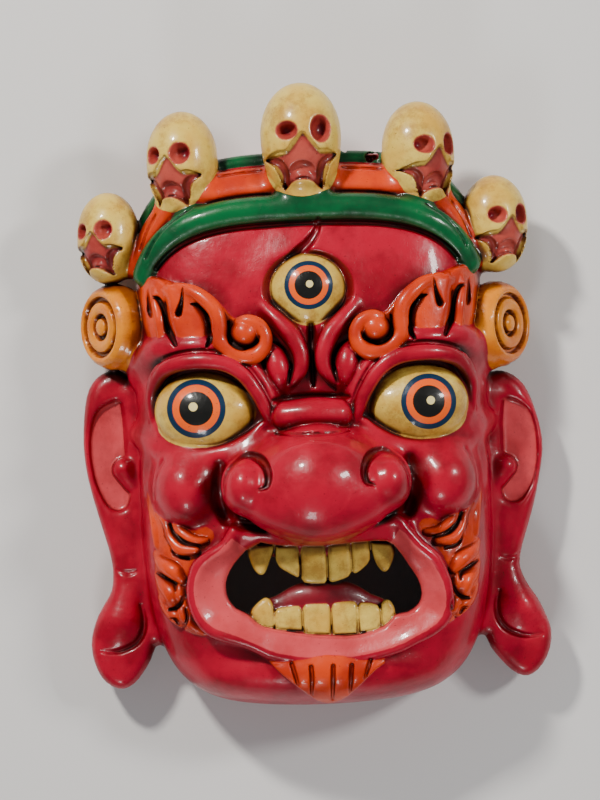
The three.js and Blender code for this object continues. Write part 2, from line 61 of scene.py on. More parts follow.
class Paint(Enum):
    """The paints of the mask; each becomes a field on the carved surface."""

    RED = "red"
    ORANGE = "orange"
    GREEN = "green"
    IVORY = "ivory"
    AMBER = "amber"
    # Dark crimson of the tongue, also laid as painted shade in the skulls' hollows and sockets.
    TONGUE_AND_SHADE = "tongue"
    PINK = "pink"
    BLUSH = "blush"


class Act(Enum):
    """What a carving step does with its form."""

    ADD = "add"
    CUT = "cut"
    TINT = "tint"


# Measures of the head, shared by everything that sits on it


@dataclass(frozen=True)
class HeadShape:
    """The head block: its outline, its depth and the plain dome of its front."""

    half_width: float = 94.0
    rise: float = 139.0
    drop: float = 155.0
    middle: float = -10.0
    depth: float = 72.0
    side: float = 26.0
    wall: float = 12.0
    crown_power: float = 4.0
    jaw_power: float = 4.3
    rounding: float = 5.0

    def spread(self, x: Array, y: Array, inset: float = 0.0) -> Array:
        """How far out a place lies in the outline.

        Args:
            x: Places to the right of the middle.
            y: Places above the frame's middle.
            inset: How much smaller the outline is made all round.

        Returns:
            0 in the middle of the face and 1 on its edge.
        """
        up = y > self.middle
        power = np.where(up, self.crown_power, self.jaw_power)
        reach = np.where(up, self.rise, self.drop) - inset
        across = np.abs(x) / (self.half_width - inset)
        along = np.abs(y - self.middle) / reach
        return (across**power + along**power) ** (1.0 / power)

    def height(self, x: Array, y: Array) -> Array:
        """Height of the plain front above the rim.

        Args:
            x: Places to the right of the middle.
            y: Places above the frame's middle.

        Returns:
            The height at each place.
        """
        share = np.minimum(self.spread(np.asarray(x, float), np.asarray(y, float)), 1.0)
        fall = np.sqrt(np.maximum(0.0, 1.0 - share**self.rounding))
        return self.side + (self.depth - self.side) * fall

    def place(self, points: Iterable[Sequence[float]]) -> Array:
        """Puts points given as x, y and lift on the plain front.

        Args:
            points: Rows of x, y and the lift above the front.

        Returns:
            Rows of x, y and z.
        """
        rows = np.array(list(points), float)
        rows[:, 2] += self.height(rows[:, 0], rows[:, 1])
        return rows


HEAD = HeadShape()


def smooth_min(a: Array, b: Array, blend: float) -> Array:
    """The lower of two distances, rounded where they meet over the blend's width."""
    h = np.maximum(blend - np.abs(a - b), 0.0) / max(blend, TINY)
    return np.minimum(a, b) - h * h * blend * 0.25


def flowing(points: Array, per_span: int = 4) -> Array:
    """Rows of numbers run smoothly through the given rows.

    Args:
        points: The rows to pass through.
        per_span: How many rows to make for each given one.

    Returns:
        The finer rows.
    """
    p = np.vstack([2 * points[0] - points[1], points, 2 * points[-1] - points[-2]])
    rows = []
    for i in range(1, len(p) - 2):
        for t in np.arange(per_span) / per_span:
            a, b, c, d = p[i - 1], p[i], p[i + 1], p[i + 2]
            square = 2 * a - 5 * b + 4 * c - d
            cube = 3 * b - a - 3 * c + d
            rows.append(0.5 * (2 * b + (c - a) * t + square * t**2 + cube * t**3))
    rows.append(p[-2])
    return np.array(rows)


def outline_distance(x: Array, y: Array, corners: Array) -> Array:
    """Distance from places in a plane to a closed outline.

    Args:
        x: First co-ordinates of the places.
        y: Their second co-ordinates.
        corners: The outline's corners, in order.

    Returns:
        The distances, negative inside.
    """
    best = np.full(x.shape, 1e9)
    inside = np.zeros(x.shape, bool)
    for (ax, ay), (bx, by) in zip(corners, np.roll(corners, -1, axis=0)):
        ex, ey = bx - ax, by - ay
        wx, wy = x - ax, y - ay
        t = np.clip((wx * ex + wy * ey) / (ex * ex + ey * ey + 1e-12), 0, 1)
        best = np.minimum(best, (wx - ex * t) ** 2 + (wy - ey * t) ** 2)
        crosses = (ay > y) != (by > y)
        inside ^= crosses & (x < ex * (y - ay) / (ey if ey else 1e-12) + ax)
    return np.where(inside, -1.0, 1.0) * np.sqrt(best)


def rounded_edge(a: Array, b: Array, radius: float) -> Array:
    """Distance from the place where two forms overlap, with the edge between them rounded.

    Args:
        a: Distances from the first form.
        b: Distances from the second form.
        radius: Radius of the edge.

    Returns:
        The distances, negative inside both.
    """
    a = a + radius
    b = b + radius
    out = np.sqrt(np.maximum(a, 0) ** 2 + np.maximum(b, 0) ** 2)
    return out + np.minimum(np.maximum(a, b), 0) - radius


# Forms

# How far to step from a point to measure a slope there
PROBE = 0.5


class Form:
    """A shape that says how far any point is from its surface; inside is negative."""

    def box(self) -> tuple[Array, Array]:
        """Lowest and highest corner of a box round the form."""
        raise NotImplementedError

    def distance(self, p: Array) -> Array:
        """Distance of each row of p from the form's surface."""
        raise NotImplementedError


@dataclass
class Ball(Form):
    """An ellipsoid."""

    centre: Sequence[float]
    radii: Sequence[float]

    def box(self) -> tuple[Array, Array]:
        """Box round the ellipsoid."""
        c, r = np.array(self.centre, float), np.array(self.radii, float)
        return c - r, c + r

    def distance(self, p: Array) -> Array:
        """How far points are from the ellipsoid.

        Args:
            p: Rows of x, y, z.

        Returns:
            One distance for each row, negative inside.
        """
        q = p - np.array(self.centre)
        r = np.array(self.radii, float)
        k0 = np.sqrt(((q / r) ** 2).sum(1))
        k1 = np.sqrt(((q / (r * r)) ** 2).sum(1))
        return k0 * (k0 - 1.0) / np.maximum(k1, TINY)


@dataclass
class Strand(Form):
    """A rounded strand along a curve, whose radius changes from point to point.

    Attributes:
        points: Rows of x, y, z.
        radii: One radius for each row.
        flat: How much lower than wide the strand is; 1 is round.
        per_span: How many rows are made for each given one.
        stretch: How many rows are measured together.
        margin: How far from a stretch its distance is worked out.
        far: The distance given anywhere else.
    """

    points: Array
    radii: Sequence[float]
    flat: float = 1.0
    per_span: int = 4
    stretch: int = 5
    margin: float = 10.0
    far: float = 1e3

    def __post_init__(self) -> None:
        """Makes the finer rows along the curve."""
        rows = np.column_stack([np.asarray(self.points, float), np.asarray(self.radii, float)])
        self.fine = flowing(rows, self.per_span)

    def box(self) -> tuple[Array, Array]:
        """Box round the strand."""
        r = self.fine[:, 3].max() * np.array([1, 1, max(1.0, self.flat)])
        return self.fine[:, :3].min(0) - r, self.fine[:, :3].max(0) + r

    def distance(self, p: Array) -> Array:
        """How far points are from the strand.

        Args:
            p: Rows of x, y, z.

        Returns:
            One distance for each row, negative inside.
        """
        squash = np.array([1, 1, 1 / self.flat])
        q = p * squash
        rows = self.fine[:, :3] * squash
        radii = self.fine[:, 3]
        best = np.full(len(p), self.far)
        for first in range(0, len(rows) - 1, self.stretch):
            last = min(first + self.stretch, len(rows) - 1)
            bit = rows[first : last + 1]
            pad = radii[first : last + 1].max() + self.margin
            near = np.nonzero(((q > bit.min(0) - pad) & (q < bit.max(0) + pad)).all(1))[0]
            if len(near):
                found = [self._stretch(q[near], rows, radii, i) for i in range(first, last)]
                best[near] = np.minimum(best[near], np.min(found, axis=0))
        return best * (self.flat if self.flat < 1 else 1.0)

    @staticmethod
    def _stretch(q: Array, rows: Array, radii: Array, i: int) -> Array:
        """Distance from one straight stretch of the strand.

        Args:
            q: The points.
            rows: The strand's middle line.
            radii: Its radius at each row.
            i: Which row the stretch starts from.

        Returns:
            The distances.
        """
        ab = rows[i + 1] - rows[i]
        w = q - rows[i]
        t = np.clip(w @ ab / max(ab @ ab, 1e-9), 0, 1)
        w -= t[:, None] * ab
        return np.sqrt((w * w).sum(1)) - (radii[i] + (radii[i + 1] - radii[i]) * t)


@dataclass
class Plate(Form):
    """A slab with the given outline and rounded edges."""

    corners: Array
    bottom: float
    top: float
    rounding: float

    def box(self) -> tuple[Array, Array]:
        """Box round the slab."""
        lo, hi = self.corners.min(0), self.corners.max(0)
        return np.array([*lo, self.bottom]), np.array([*hi, self.top])

    def distance(self, p: Array) -> Array:
        """How far points are from the slab.

        Args:
            p: Rows of x, y, z.

        Returns:
            One distance for each row, negative inside.
        """
        across = outline_distance(p[:, 0], p[:, 1], self.corners)
        up = np.abs(p[:, 2] - (self.bottom + self.top) / 2) - (self.top - self.bottom) / 2
        return rounded_edge(across, up, self.rounding)


@dataclass
class Block(Form):
    """A box with rounded edges."""

    centre: Sequence[float]
    half: Sequence[float]
    rounding: float

    def box(self) -> tuple[Array, Array]:
        """Box round the block."""
        c, h = np.array(self.centre, float), np.array(self.half, float)
        return c - h, c + h

    def distance(self, p: Array) -> Array:
        """How far points are from the block.

        Args:
            p: Rows of x, y, z.

        Returns:
            One distance for each row, negative inside.
        """
        q = np.abs(p - np.array(self.centre)) - np.array(self.half) + self.rounding
        out = np.sqrt((np.maximum(q, 0) ** 2).sum(1))
        return out + np.minimum(q.max(1), 0) - self.rounding


@dataclass
class Pad(Form):
    """A raised patch of the face with the given outline.

    Attributes:
        corners: The outline.
        lift: How far it stands above the plain front.
        rounding: Radius of its edges.
        dish: How much lower its middle is than its edge.
        dish_width: How far in from the edge it has sunk by that much.
        sink: How far it reaches below the plain front.
        steepest: The steepest slope of the front that is allowed for.
    """

    corners: Array
    lift: float
    rounding: float = 2.0
    dish: float = 0.0
    dish_width: float = 15.0
    sink: float = 9.0
    steepest: float = 3.0

    def box(self) -> tuple[Array, Array]:
        """Box round the patch."""
        lo, hi = self.corners.min(0), self.corners.max(0)
        return np.array([*lo, HEAD.side - self.sink]), np.array([*hi, HEAD.depth + self.lift])

    def distance(self, p: Array) -> Array:
        """How far points are from the patch.

        Args:
            p: Rows of x, y, z.

        Returns:
            One distance for each row, negative inside.
        """
        x, y, z = p.T
        across = outline_distance(x, y, self.corners)
        front = HEAD.height(x, y)
        rise_x = HEAD.height(x + PROBE, y) - front
        rise_y = HEAD.height(x, y + PROBE) - front
        slope = np.hypot(rise_x, rise_y) / PROBE
        inward = np.clip(-across / self.dish_width, 0, 1)
        top = front + self.lift - self.dish * inward * inward * (3 - 2 * inward)
        lean = 1 / np.sqrt(1 + np.minimum(slope, self.steepest) ** 2)
        up = np.maximum((z - top) * lean, front - self.sink - z)
        return rounded_edge(across, up, self.rounding)


@dataclass
class Skin(Form):
    """The outermost layer of another form, where it lies in front of an outline."""

    base: Form
    corners: Array
    depth: float

    def box(self) -> tuple[Array, Array]:
        """Box round the form."""
        return self.base.box()

    def distance(self, p: Array) -> Array:
        """How far points are from the layer."""
        across = outline_distance(p[:, 0], p[:, 1], self.corners)
        return np.maximum(np.maximum(across, -p[:, 2]), -self.depth - self.base.distance(p))


@dataclass
class Within(Form):
    """The part of another form that lies inside an outline."""

    base: Form
    corners: Array

    def box(self) -> tuple[Array, Array]:
        """Box round the part inside the outline."""
        lo, hi = self.base.box()
        return np.array([*self.corners.min(0), lo[2]]), np.array([*self.corners.max(0), hi[2]])

    def distance(self, p: Array) -> Array:
        """How far points are from the part inside the outline."""
        across = outline_distance(p[:, 0], p[:, 1], self.corners)
        return np.maximum(across, self.base.distance(p))


@dataclass
class Turned(Form):
    """A turned shape: a profile of radius and height, about an axis that leans outward."""

    centre: Sequence[float]
    lean: float
    profile: Array

    def box(self) -> tuple[Array, Array]:
        """Box round the turned shape."""
        r = np.abs(self.profile).max() * 1.2
        return np.array(self.centre) - r, np.array(self.centre) + r

    def distance(self, p: Array) -> Array:
        """How far points are from the turned shape.

        Args:
            p: Rows of x, y, z.

        Returns:
            One distance for each row, negative inside.
        """
        q = p - np.array(self.centre)
        s, c = math.sin(self.lean), math.cos(self.lean)
        axis = np.array([s, 0, c])
        h = q @ axis
        r = np.sqrt(np.maximum((q * q).sum(1) - h * h, 0))
        return outline_distance(r, h, self.profile)


@dataclass
class Local(Form):
    """Another form, turned about the upright and moved into place."""

    form: Form
    centre: Sequence[float]
    turn: float
    reach: float

    def box(self) -> tuple[Array, Array]:
        """Box round the form in its place."""
        return np.array(self.centre) - self.reach, np.array(self.centre) + self.reach

    def distance(self, p: Array) -> Array:
        """How far points are from the form in its place.

        Args:
            p: Rows of x, y, z.

        Returns:
            One distance for each row, negative inside.
        """
        q = p - np.array(self.centre)
        s, c = math.sin(self.turn), math.cos(self.turn)
        local = np.column_stack([q[:, 0] * c - q[:, 2] * s, q[:, 1], q[:, 0] * s + q[:, 2] * c])
        return self.form.distance(local)


@dataclass
class Dome(Form):
    """The head block or, with an inset, the hollow inside it."""

    inset: float = 0.0
    depth: float = HEAD.depth
    least_slope: float = 0.008

    def box(self) -> tuple[Array, Array]:
        """A box that holds any block."""
        return np.array([-130.0, -180.0, -20.0]), np.array([130.0, 150.0, 130.0])

    def _level(self, p: Array) -> Array:
        """How far out points lie, by depth and outline together.

        Args:
            p: Rows of x, y, z.

        Returns:
            1 on the surface and less inside.
        """
        share = HEAD.spread(p[:, 0], p[:, 1], self.inset)
        up = np.maximum(p[:, 2] - HEAD.side, 0) / (self.depth - HEAD.side)
        return np.sqrt(share**HEAD.rounding + up * up)

    def distance(self, p: Array) -> Array:
        """How far points are from the block.

        Args:
            p: Rows of x, y, z.

        Returns:
            One distance for each row, negative inside.
        """
        here = self._level(p)
        slope = np.zeros(len(p))
        for axis in range(3):
            q = p.copy()
            q[:, axis] += PROBE
            slope += ((self._level(q) - here) / PROBE) ** 2
        return (here - 1.0) / np.maximum(np.sqrt(slope), self.least_slope)


FACE_ROOM = Dome(HEAD.wall, HEAD.depth - HEAD.wall)
NOSE_ROOM = Ball((0, -46, HEAD.depth - HEAD.wall), (18, 22, 34))


# Carving


@dataclass
class Step:
    """One step of the carving."""

    form: Form
    act: Act
    blend: float
    paint: Paint


@dataclass
class Carving:
    """The steps that make the mask, in order, and what they come to at any point.

    Attributes:
        steps: The steps so far.
        far: The distance where no form is near.
        unpainted: The field of a paint where none of it is near.
        scan: Where a search for the top starts and ends, and its step down.
    """

    steps: list[Step] = field(default_factory=list)
    far: float = 60.0
    unpainted: float = -30.0
    scan: tuple[float, float, float] = (124.0, 4.0, -1.0)

    def add(self, form: Form, paint: Paint = Paint.RED, blend: float = 1.5) -> None:
        """Joins a form on, rounding the joint over the blend."""
        self.steps.append(Step(form, Act.ADD, blend, paint))

    def cut(self, form: Form, blend: float = 1.2) -> None:
        """Cuts a form away, rounding its edges over the blend."""
        self.steps.append(Step(form, Act.CUT, blend, Paint.RED))

    def tint(self, form: Form, paint: Paint) -> None:
        """Paints what lies in a form without carving it."""
        self.steps.append(Step(form, Act.TINT, 0.0, paint))

    @staticmethod
    def _near(p: Array, step: Step, margin: float) -> Array:
        """Which points a step can reach.

        Args:
            p: Rows of x, y, z.
            step: The step.
            margin: How far from its form counts.

        Returns:
            The rows' numbers.
        """
        lo, hi = step.form.box()
        pad = margin + step.blend
        near = np.ones(len(p), bool)
        for axis in range(3):
            near &= (p[:, axis] > lo[axis] - pad) & (p[:, axis] < hi[axis] + pad)
        return np.nonzero(near)[0]

    def _part(self, p: Array, paints: dict[str, Array] | None, margin: float) -> Array:
        """Goes through the steps for some points.

        Args:
            p: Rows of x, y, z.
            paints: Fields of the paints to fill, or None for the distance alone.
            margin: How far from each form the distance must be right.

        Returns:
            The distances, negative inside.
        """
        d = np.full(len(p), self.far)
        for step in self.steps:
            if paints is None and step.act is Act.TINT:
                continue
            near = self._near(p, step, margin)
            if not len(near):
                continue
            form = step.form.distance(p[near])
            if step.act is Act.ADD:
                if paints is not None:
                    self._cover(paints, near, step.paint, d[near] - form)
                d[near] = smooth_min(d[near], form, step.blend)
            elif step.act is Act.CUT:
                d[near] = -smooth_min(-d[near], form, step.blend)
            else:
                own = paints[step.paint.value]
                own[near] = np.maximum(own[near], -form)
        return d

    @staticmethod
    def _cover(paints: dict[str, Array], near: Array, paint: Paint, lead: Array) -> None:
        """Lets a paint lead where its form covers what is there.

        Args:
            paints: The fields of the paints.
            near: Rows in the form's reach.
            paint: The form's paint.
            lead: How far the form stands over what is there.
        """
        for name, own in paints.items():
            if name == paint.value:
                own[near] = np.maximum(own[near], lead)
            else:
                own[near] = np.minimum(own[near], -lead)

    def distance(self, p: Array, margin: float = 7.0) -> Array:
        """Distance of each point from the carved surface, worked out in slices side by side.

        Args:
            p: The points.
            margin: How far from the surface the distance must still be right.

        Returns:
            The distances, negative inside.
        """
        slices = np.array_split(p, max(1, len(p) // 40000))
        with ThreadPoolExecutor(4) as pool:
            return np.concatenate(list(pool.map(lambda s: self._part(s, None, margin), slices)))

    def paints(self, p: Array) -> dict[str, Array]:
        """How far inside each paint every point lies.

        Args:
            p: Rows of x, y, z.

        Returns:
            A field for each paint, below 0 outside it.
        """
        found = {paint.value: np.full(len(p), self.unpainted) for paint in Paint}
        self._part(p, found, 3.0)
        return found

    def top(self, x: Array, y: Array) -> Array:
        """Height of the carved surface as seen from the front.

        Args:
            x: Places to the right of the middle.
            y: Places above the frame's middle.

        Returns:
            The height over each place.
        """
        z = np.arange(*self.scan)
        p = np.stack([np.repeat(x, len(z)), np.repeat(y, len(z)), np.tile(z, len(x))], 1)
        d = self._part(p, None, 3.0).reshape(len(x), len(z))
        first = np.maximum(np.argmax(d < 0, axis=1), 1)
        rows = np.arange(len(x))
        above, below = d[rows, first - 1], d[rows, first]
        return z[first - 1] - np.clip(above / np.maximum(above - below, TINY), 0, 1)

    def groove(
        self,
        rows: Iterable[Sequence[float]],
        side: int = -1,
        shift: float = 0.0,
        tall: float = 2.0,
        blend: float = 0.8,
    ) -> None:
        """Cuts a groove that follows the surface carved so far.

        Args:
            rows: x, y and half width of the groove, drawn on the left of the face.
            side: -1 leaves it on the left and 1 mirrors it to the right.
            shift: How far right it is moved after that.
            tall: Its depth in half widths.
            blend: How far its edges are rounded.
        """
        fine = flowing(np.array(list(rows), float), 4)
        fine[:, 0] = fine[:, 0] * -side + shift
        z = self.top(fine[:, 0], fine[:, 1])
        z[1:-1] = (z[:-2] + z[1:-1] + z[2:]) / 3
        self.cut(Strand(np.column_stack([fine[:, :2], z]), fine[:, 2], tall, 1), blend)


# Each level of samples: its cell in pitches, how far from the surface its distances must be
# right, and how near a cell must lie to be split for the next level
LEVELS = ((4, 6.0, 4.9), (2, 3.4, 2.7), (1, 2.0, 0.0))


@dataclass(frozen=True)
class Surfacer:
    """Turns a carving into a closed mesh.

    Attributes:
        low: Lowest corner of the space searched, in millimetres.
        high: Its highest corner.
        pitch: Spacing of the finest samples.
    """

    low: tuple[float, float, float] = (-126.4, -167.2, -2.4)
    high: tuple[float, float, float] = (126.4, 167.2, 119.2)
    pitch: float = FINE_PITCH

    def _samples(self, carving: Carving) -> tuple[Array, Array]:
        """Samples the carving, finely only near its surface.

        Args:
            carving: What to sample.

        Returns:
            The block of distances and its lowest corner.
        """
        size, margin, reach = LEVELS[0]
        step = self.pitch * size
        low = np.array(self.low)
        count = np.ceil((np.array(self.high) - low) / step).astype(int)
        cells = np.stack(np.meshgrid(*[np.arange(n) for n in count], indexing="ij"), -1).reshape(-1, 3)
        d = carving.distance(low + (cells + 0.5) * step - self.pitch / 2, margin)
        volume = d.reshape(tuple(count)).astype(np.float32)
        cells = cells[np.abs(d) < reach]
        corner = np.stack(np.meshgrid([0, 1], [0, 1], [0, 1], indexing="ij"), -1).reshape(-1, 3)
        for size, margin, reach in LEVELS[1:]:
            volume = volume.repeat(2, 0).repeat(2, 1).repeat(2, 2)
            cells = (cells[:, None, :] * 2 + corner).reshape(-1, 3)
            at = low + (cells + 0.5) * self.pitch * size - self.pitch / 2
            d = carving.distance(at, margin)
            volume[tuple(cells.T)] = d
            cells = cells[np.abs(d) < reach]
        return volume, low

    def mesh(self, carving: Carving) -> tuple[Array, Array]:
        """Finds the surface.

        Args:
            carving: What to surface.

        Returns:
            The vertices, in millimetres, and the four-sided faces.
        """
        volume, low = self._samples(carving)
        inside = volume < 0
        nx, ny, nz = (count - 1 for count in inside.shape)
        total = sum(
            inside[i : nx + i, j : ny + j, k : nz + k].astype(np.int8)
            for i in (0, 1)
            for j in (0, 1)
            for k in (0, 1)
        )
        cells = np.argwhere((total > 0) & (total < 8))
        number = np.full(total.shape, -1, np.int32)
        number[tuple(cells.T)] = np.arange(len(cells))
        vertices = low + self._spots(volume, cells) * self.pitch
        faces = [self._faces(inside, number, axis) for axis in range(3)]
        return self._settled(carving, vertices), np.vstack(faces)

    @staticmethod
    def _spots(volume: Array, cells: Array) -> Array:
        """Where the surface passes through each cell: the mean of where it crosses the cell's edges.

        Args:
            volume: The block of distances.
            cells: The cells that the surface passes through.

        Returns:
            The places, counted in cells.
        """
        spots = np.zeros((len(cells), 3))
        hits = np.zeros(len(cells))
        for axis in range(3):
            others = [a for a in range(3) if a != axis]
            for i in (0, 1):
                for j in (0, 1):
                    start = np.zeros(3, int)
                    start[others[0]], start[others[1]] = i, j
                    end = start.copy()
                    end[axis] = 1
                    a = volume[tuple((cells + start).T)]
                    b = volume[tuple((cells + end).T)]
                    crossing = (a < 0) != (b < 0)
                    t = np.where(crossing, a / np.where(crossing, a - b, 1), 0)
                    spot = start + t[:, None] * (end - start)
                    spots[crossing] += spot[crossing]
                    hits += crossing
        return cells + spots / np.maximum(hits, 1)[:, None]

    @staticmethod
    def _faces(inside: Array, number: Array, axis: int) -> Array:
        """Faces across the edges between samples that run along one axis.

        Args:
            inside: Which samples lie in the mask.
            number: Each cell's vertex.
            axis: The axis.

        Returns:
            Four vertices for each face, in order, facing outwards.
        """
        u, v = [(1, 2), (2, 0), (0, 1)][axis]
        a = np.take(inside, range(inside.shape[axis] - 1), axis)
        b = np.take(inside, range(1, inside.shape[axis]), axis)
        edges = np.argwhere(a != b)
        edges = edges[(edges[:, u] > 0) & (edges[:, v] > 0)]
        edges = edges[(edges[:, u] < number.shape[u]) & (edges[:, v] < number.shape[v])]
        flip = a[tuple(edges.T)]
        quad = []
        for du, dv in ((1, 1), (0, 1), (0, 0), (1, 0)):
            cell = edges.copy()
            cell[:, u] -= du
            cell[:, v] -= dv
            quad.append(number[tuple(cell.T)])
        quad = np.stack(quad, 1)
        return np.where(flip[:, None], quad, quad[:, ::-1])

    @staticmethod
    def _settled(carving: Carving, vertices: Array) -> Array:
        """Moves vertices onto the surface.

        Args:
            carving: What they belong to.
            vertices: The vertices, in millimetres.

        Returns:
            The settled vertices.
        """
        margin, probe, least, furthest = 2.0, 0.25, 0.1, 0.5
        here = carving.distance(vertices, margin)
        slope = np.empty_like(vertices)
        for axis in range(3):
            q = vertices.copy()
            q[:, axis] += probe
            slope[:, axis] = (carving.distance(q, margin) - here) / probe
        step = here / np.maximum((slope**2).sum(1), least)
        return vertices - np.clip(step, -furthest, furthest)[:, None] * slope


class Part:
    """Something carved on the mask."""

    name = "part"

    def carve(self, mask: Carving) -> None:
        """Adds this part's steps to the carving."""
        raise NotImplementedError


def strand(
    rows: Iterable[Sequence[float]],
    flat: float = 1.0,
    side: int = -1,
    shift: float = 0.0,
    per_span: int = 4,
) -> Strand:
    """A strand lying on the face.

    Args:
        rows: x, y, lift above the plain face and radius, drawn on the left of the face.
        flat: How much lower than wide it is.
        side: -1 leaves it on the left and 1 mirrors it to the right.
        shift: How far right it is moved after that.
        per_span: Fineness between given points.

    Returns:
        The strand.
    """
    data = np.array(list(rows), float)
    data[:, 0] = data[:, 0] * (-side) + shift
    return Strand(HEAD.place(data[:, :3]), data[:, 3], flat, per_span)


@dataclass
class HeadBlock(Part):
    """The head itself, with the broad masses that carry the features."""

    name = "head block"

    def carve(self, mask: Carving) -> None:
        """Carves the dome, the chin, the muzzle and the eye sockets.

        Args:
            mask: The carving that it joins.
        """
        mask.add(Dome())
        mask.add(Ball((0, -146, 45), (62, 18.1, 26)), blend=12)
        mask.add(Ball((0, -88, 58), (66, 44, 20)), blend=10)
        for side in (-1, 1):
            mask.cut(Ball((side * 57, -6, 79), (31, 21, 14)), blend=8)


@dataclass
class Headband(Part):
    """Two green rolls with a ribbon between them, arched over the forehead."""

    name = "headband"
    end: float = 53.0
    width: float = 38.8
    narrowing: float = 0.055
    springing: float = 0.22
    squareness: float = 3.4

    def arch(self, out: float, lift: float, count: int = 40) -> Array:
        """Points along the band.

        Args:
            out: 0 on the band's inner edge and 1 on the head's outer edge.
            lift: Height above the plain front.
            count: How many points.

        Returns:
            Rows of x, y, z.
        """
        top = HEAD.rise + HEAD.middle - (1 - out) * self.width
        half = HEAD.half_width * (1 - (1 - out) * self.narrowing)
        centre = self.springing * top
        first = math.asin((self.end - centre) / (top - centre))
        angle = np.linspace(first, math.pi - first, count)
        across, along = np.cos(angle), np.sin(angle)
        power = 2 / self.squareness
        x = half * (np.sign(across) * np.abs(across) ** power)
        y = centre + (top - centre) * (np.sign(along) * np.abs(along) ** power)
        return HEAD.place(np.column_stack([x, y, np.full(count, lift)]))

    def carve(self, mask: Carving) -> None:
        """Carves the rolls and the ribbon, the grooves between them and the chips.

        Args:
            mask: The carving that it joins.
        """
        for out, lift, radius, paint, blend in (
            (0.205, 0.6, 7.3, Paint.GREEN, 1.6),
            (0.47, -2.4, 4.4, Paint.ORANGE, 0.8),
            (0.54, -2.2, 4.4, Paint.ORANGE, 3.0),
            (0.62, -2.2, 4.4, Paint.ORANGE, 3.0),
            (0.69, -2.4, 4.4, Paint.ORANGE, 3.0),
            (0.88, -2.0, 5.0, Paint.GREEN, 0.8),
        ):
            points = self.arch(out, lift)
            mask.add(Strand(points, [radius] * len(points), per_span=1), paint, blend)
        for out, wide in ((-0.015, 1.5), (0.408, 0.9), (0.752, 0.9)):
            mask.groove([(x, y, wide) for x, y, _ in self.arch(out, 0.0, 24)[1:-1]], tall=1.8)
        chips = ((26, 0, 3.6), (22.6, 1, 2.2), (30, -0.6, 2.4), (36, 4.6, 2.6), (39, 4, 2.0), (-42, 1, 2.2))
        for x, drop, radius in chips:
            y = HEAD.rise + HEAD.middle - drop
            z = float(HEAD.height(x, y))
            mask.cut(Ball((x, y, z + 2), (radius, radius * 1.1, 9)), blend=0.6)


MUZZLE = (
    (-0.90, -0.30), (-0.62, -0.25), (-0.36, -0.22), (-0.14, -0.06), (0.05, 0.10), (0.24, -0.06),
    (0.44, -0.22), (0.64, -0.22), (0.84, -0.24), (0.60, -0.38), (0.50, -0.54), (0.47, -0.80), (0.26, -0.68),
    (0.02, -0.64), (-0.24, -0.68), (-0.43, -0.80), (-0.46, -0.56), (-0.58, -0.40),
)


@dataclass
class Skull(Part):
    """One skull of the crown, facing +Z until it is turned outward."""

    centre: tuple[float, float, float]
    height: float
    turn: float
    sockets: tuple[tuple[float, float, float, float], ...] = (
        (-0.42, 0.16, 0.25, 0.15),
        (0.44, 0.17, 0.25, 0.19),
    )
    width: float = 0.68
    thickness: float = 0.66
    name = "skull"

    def carve(self, mask: Carving) -> None:
        """Carves one skull.

        Args:
            mask: The carving that it joins.
        """
        h = self.height / 2
        w, d = h * self.width, h * self.thickness

        def put(form: Form) -> Local:
            """Puts a form in the skull's place."""
            return Local(form, self.centre, math.radians(self.turn), h * 1.25)

        def front(x: float, y: float, sink: float = 0.0) -> tuple[float, float, float]:
            """A point on the skull's front, in shares of its size."""
            bulge = math.sqrt(max(0.03, 1 - x * x - y * y))
            return x * w, y * h, (bulge - sink) * d

        def line(rows: Sequence[Sequence[float]], sink: float = 0.0) -> Form:
            """A strand along the skull's front."""
            points = np.array([front(x, y, sink) for x, y, _ in rows])
            return put(Strand(points, [r * h for *_, r in rows]))

        egg = Ball((0, 0.12 * h, 0), (w, 0.88 * h, d))
        jaw = Ball((0, -0.38 * h, 0.02 * d), (w * 0.78, 0.62 * h, d * 0.9))
        mask.add(put(egg), Paint.IVORY, blend=1.5)
        mask.add(put(jaw), Paint.IVORY, blend=9)
        muzzle = flowing(np.array(MUZZLE), 2) * np.array([w, h])
        whole = Ball((0, 0, 0), (w, h, d))
        mask.cut(put(Skin(whole, muzzle, 0.075 * h)), 1.4)
        mask.tint(put(Skin(whole, muzzle * 1.03, 0.5 * h)), Paint.BLUSH)
        for creases in (
            [(-0.88, -0.30, 0.03), (-0.62, -0.22, 0.05), (-0.34, -0.20, 0.06), (-0.12, -0.02, 0.06),
            (0.03, 0.10, 0.04)],
            [(0.86, -0.26, 0.03), (0.64, -0.20, 0.05), (0.42, -0.21, 0.06), (0.2, -0.04, 0.06),
            (0.05, 0.10, 0.04)],
        ):
            mask.cut(line(creases), 0.8)
        # Carved hollows of the muzzle, tinted dark crimson inside as painted shade.
        shaded_hollows = (
            [(-0.80, -0.30, 0.03), (-0.58, -0.38, 0.08), (-0.45, -0.54, 0.08), (-0.41, -0.76, 0.04)],
            [(0.78, -0.26, 0.03), (0.58, -0.37, 0.08), (0.49, -0.53, 0.08), (0.45, -0.75, 0.04)],
            [(-0.27, -0.60, 0.06), (-0.16, -0.50, 0.10), (0.02, -0.46, 0.12), (0.20, -0.50, 0.10),
            (0.31, -0.60, 0.06)],
        )
        for hollow in shaded_hollows:
            mask.cut(line(hollow, 0.10), 1.2)
            mask.tint(line([(x, y, r * 0.8) for x, y, r in hollow], 0.10), Paint.TONGUE_AND_SHADE)
        for x, y, wide, high in self.sockets:
            form = Ball(front(x, y, -0.02), (wide * w, high * h, 0.42 * d))
            mask.cut(put(form), 1.6)
            rx, ry, rz = form.radii
            mask.tint(put(Ball(form.centre, (rx + 0.9, ry + 0.9, rz + 2))), Paint.BLUSH)
            # Dark crimson in the middle of each socket is painted shade; the blush round it is the socket's
            # own paint.
            mask.tint(put(Ball(form.centre, (rx * 0.62, ry * 0.62, 0.6 * d))), Paint.TONGUE_AND_SHADE)


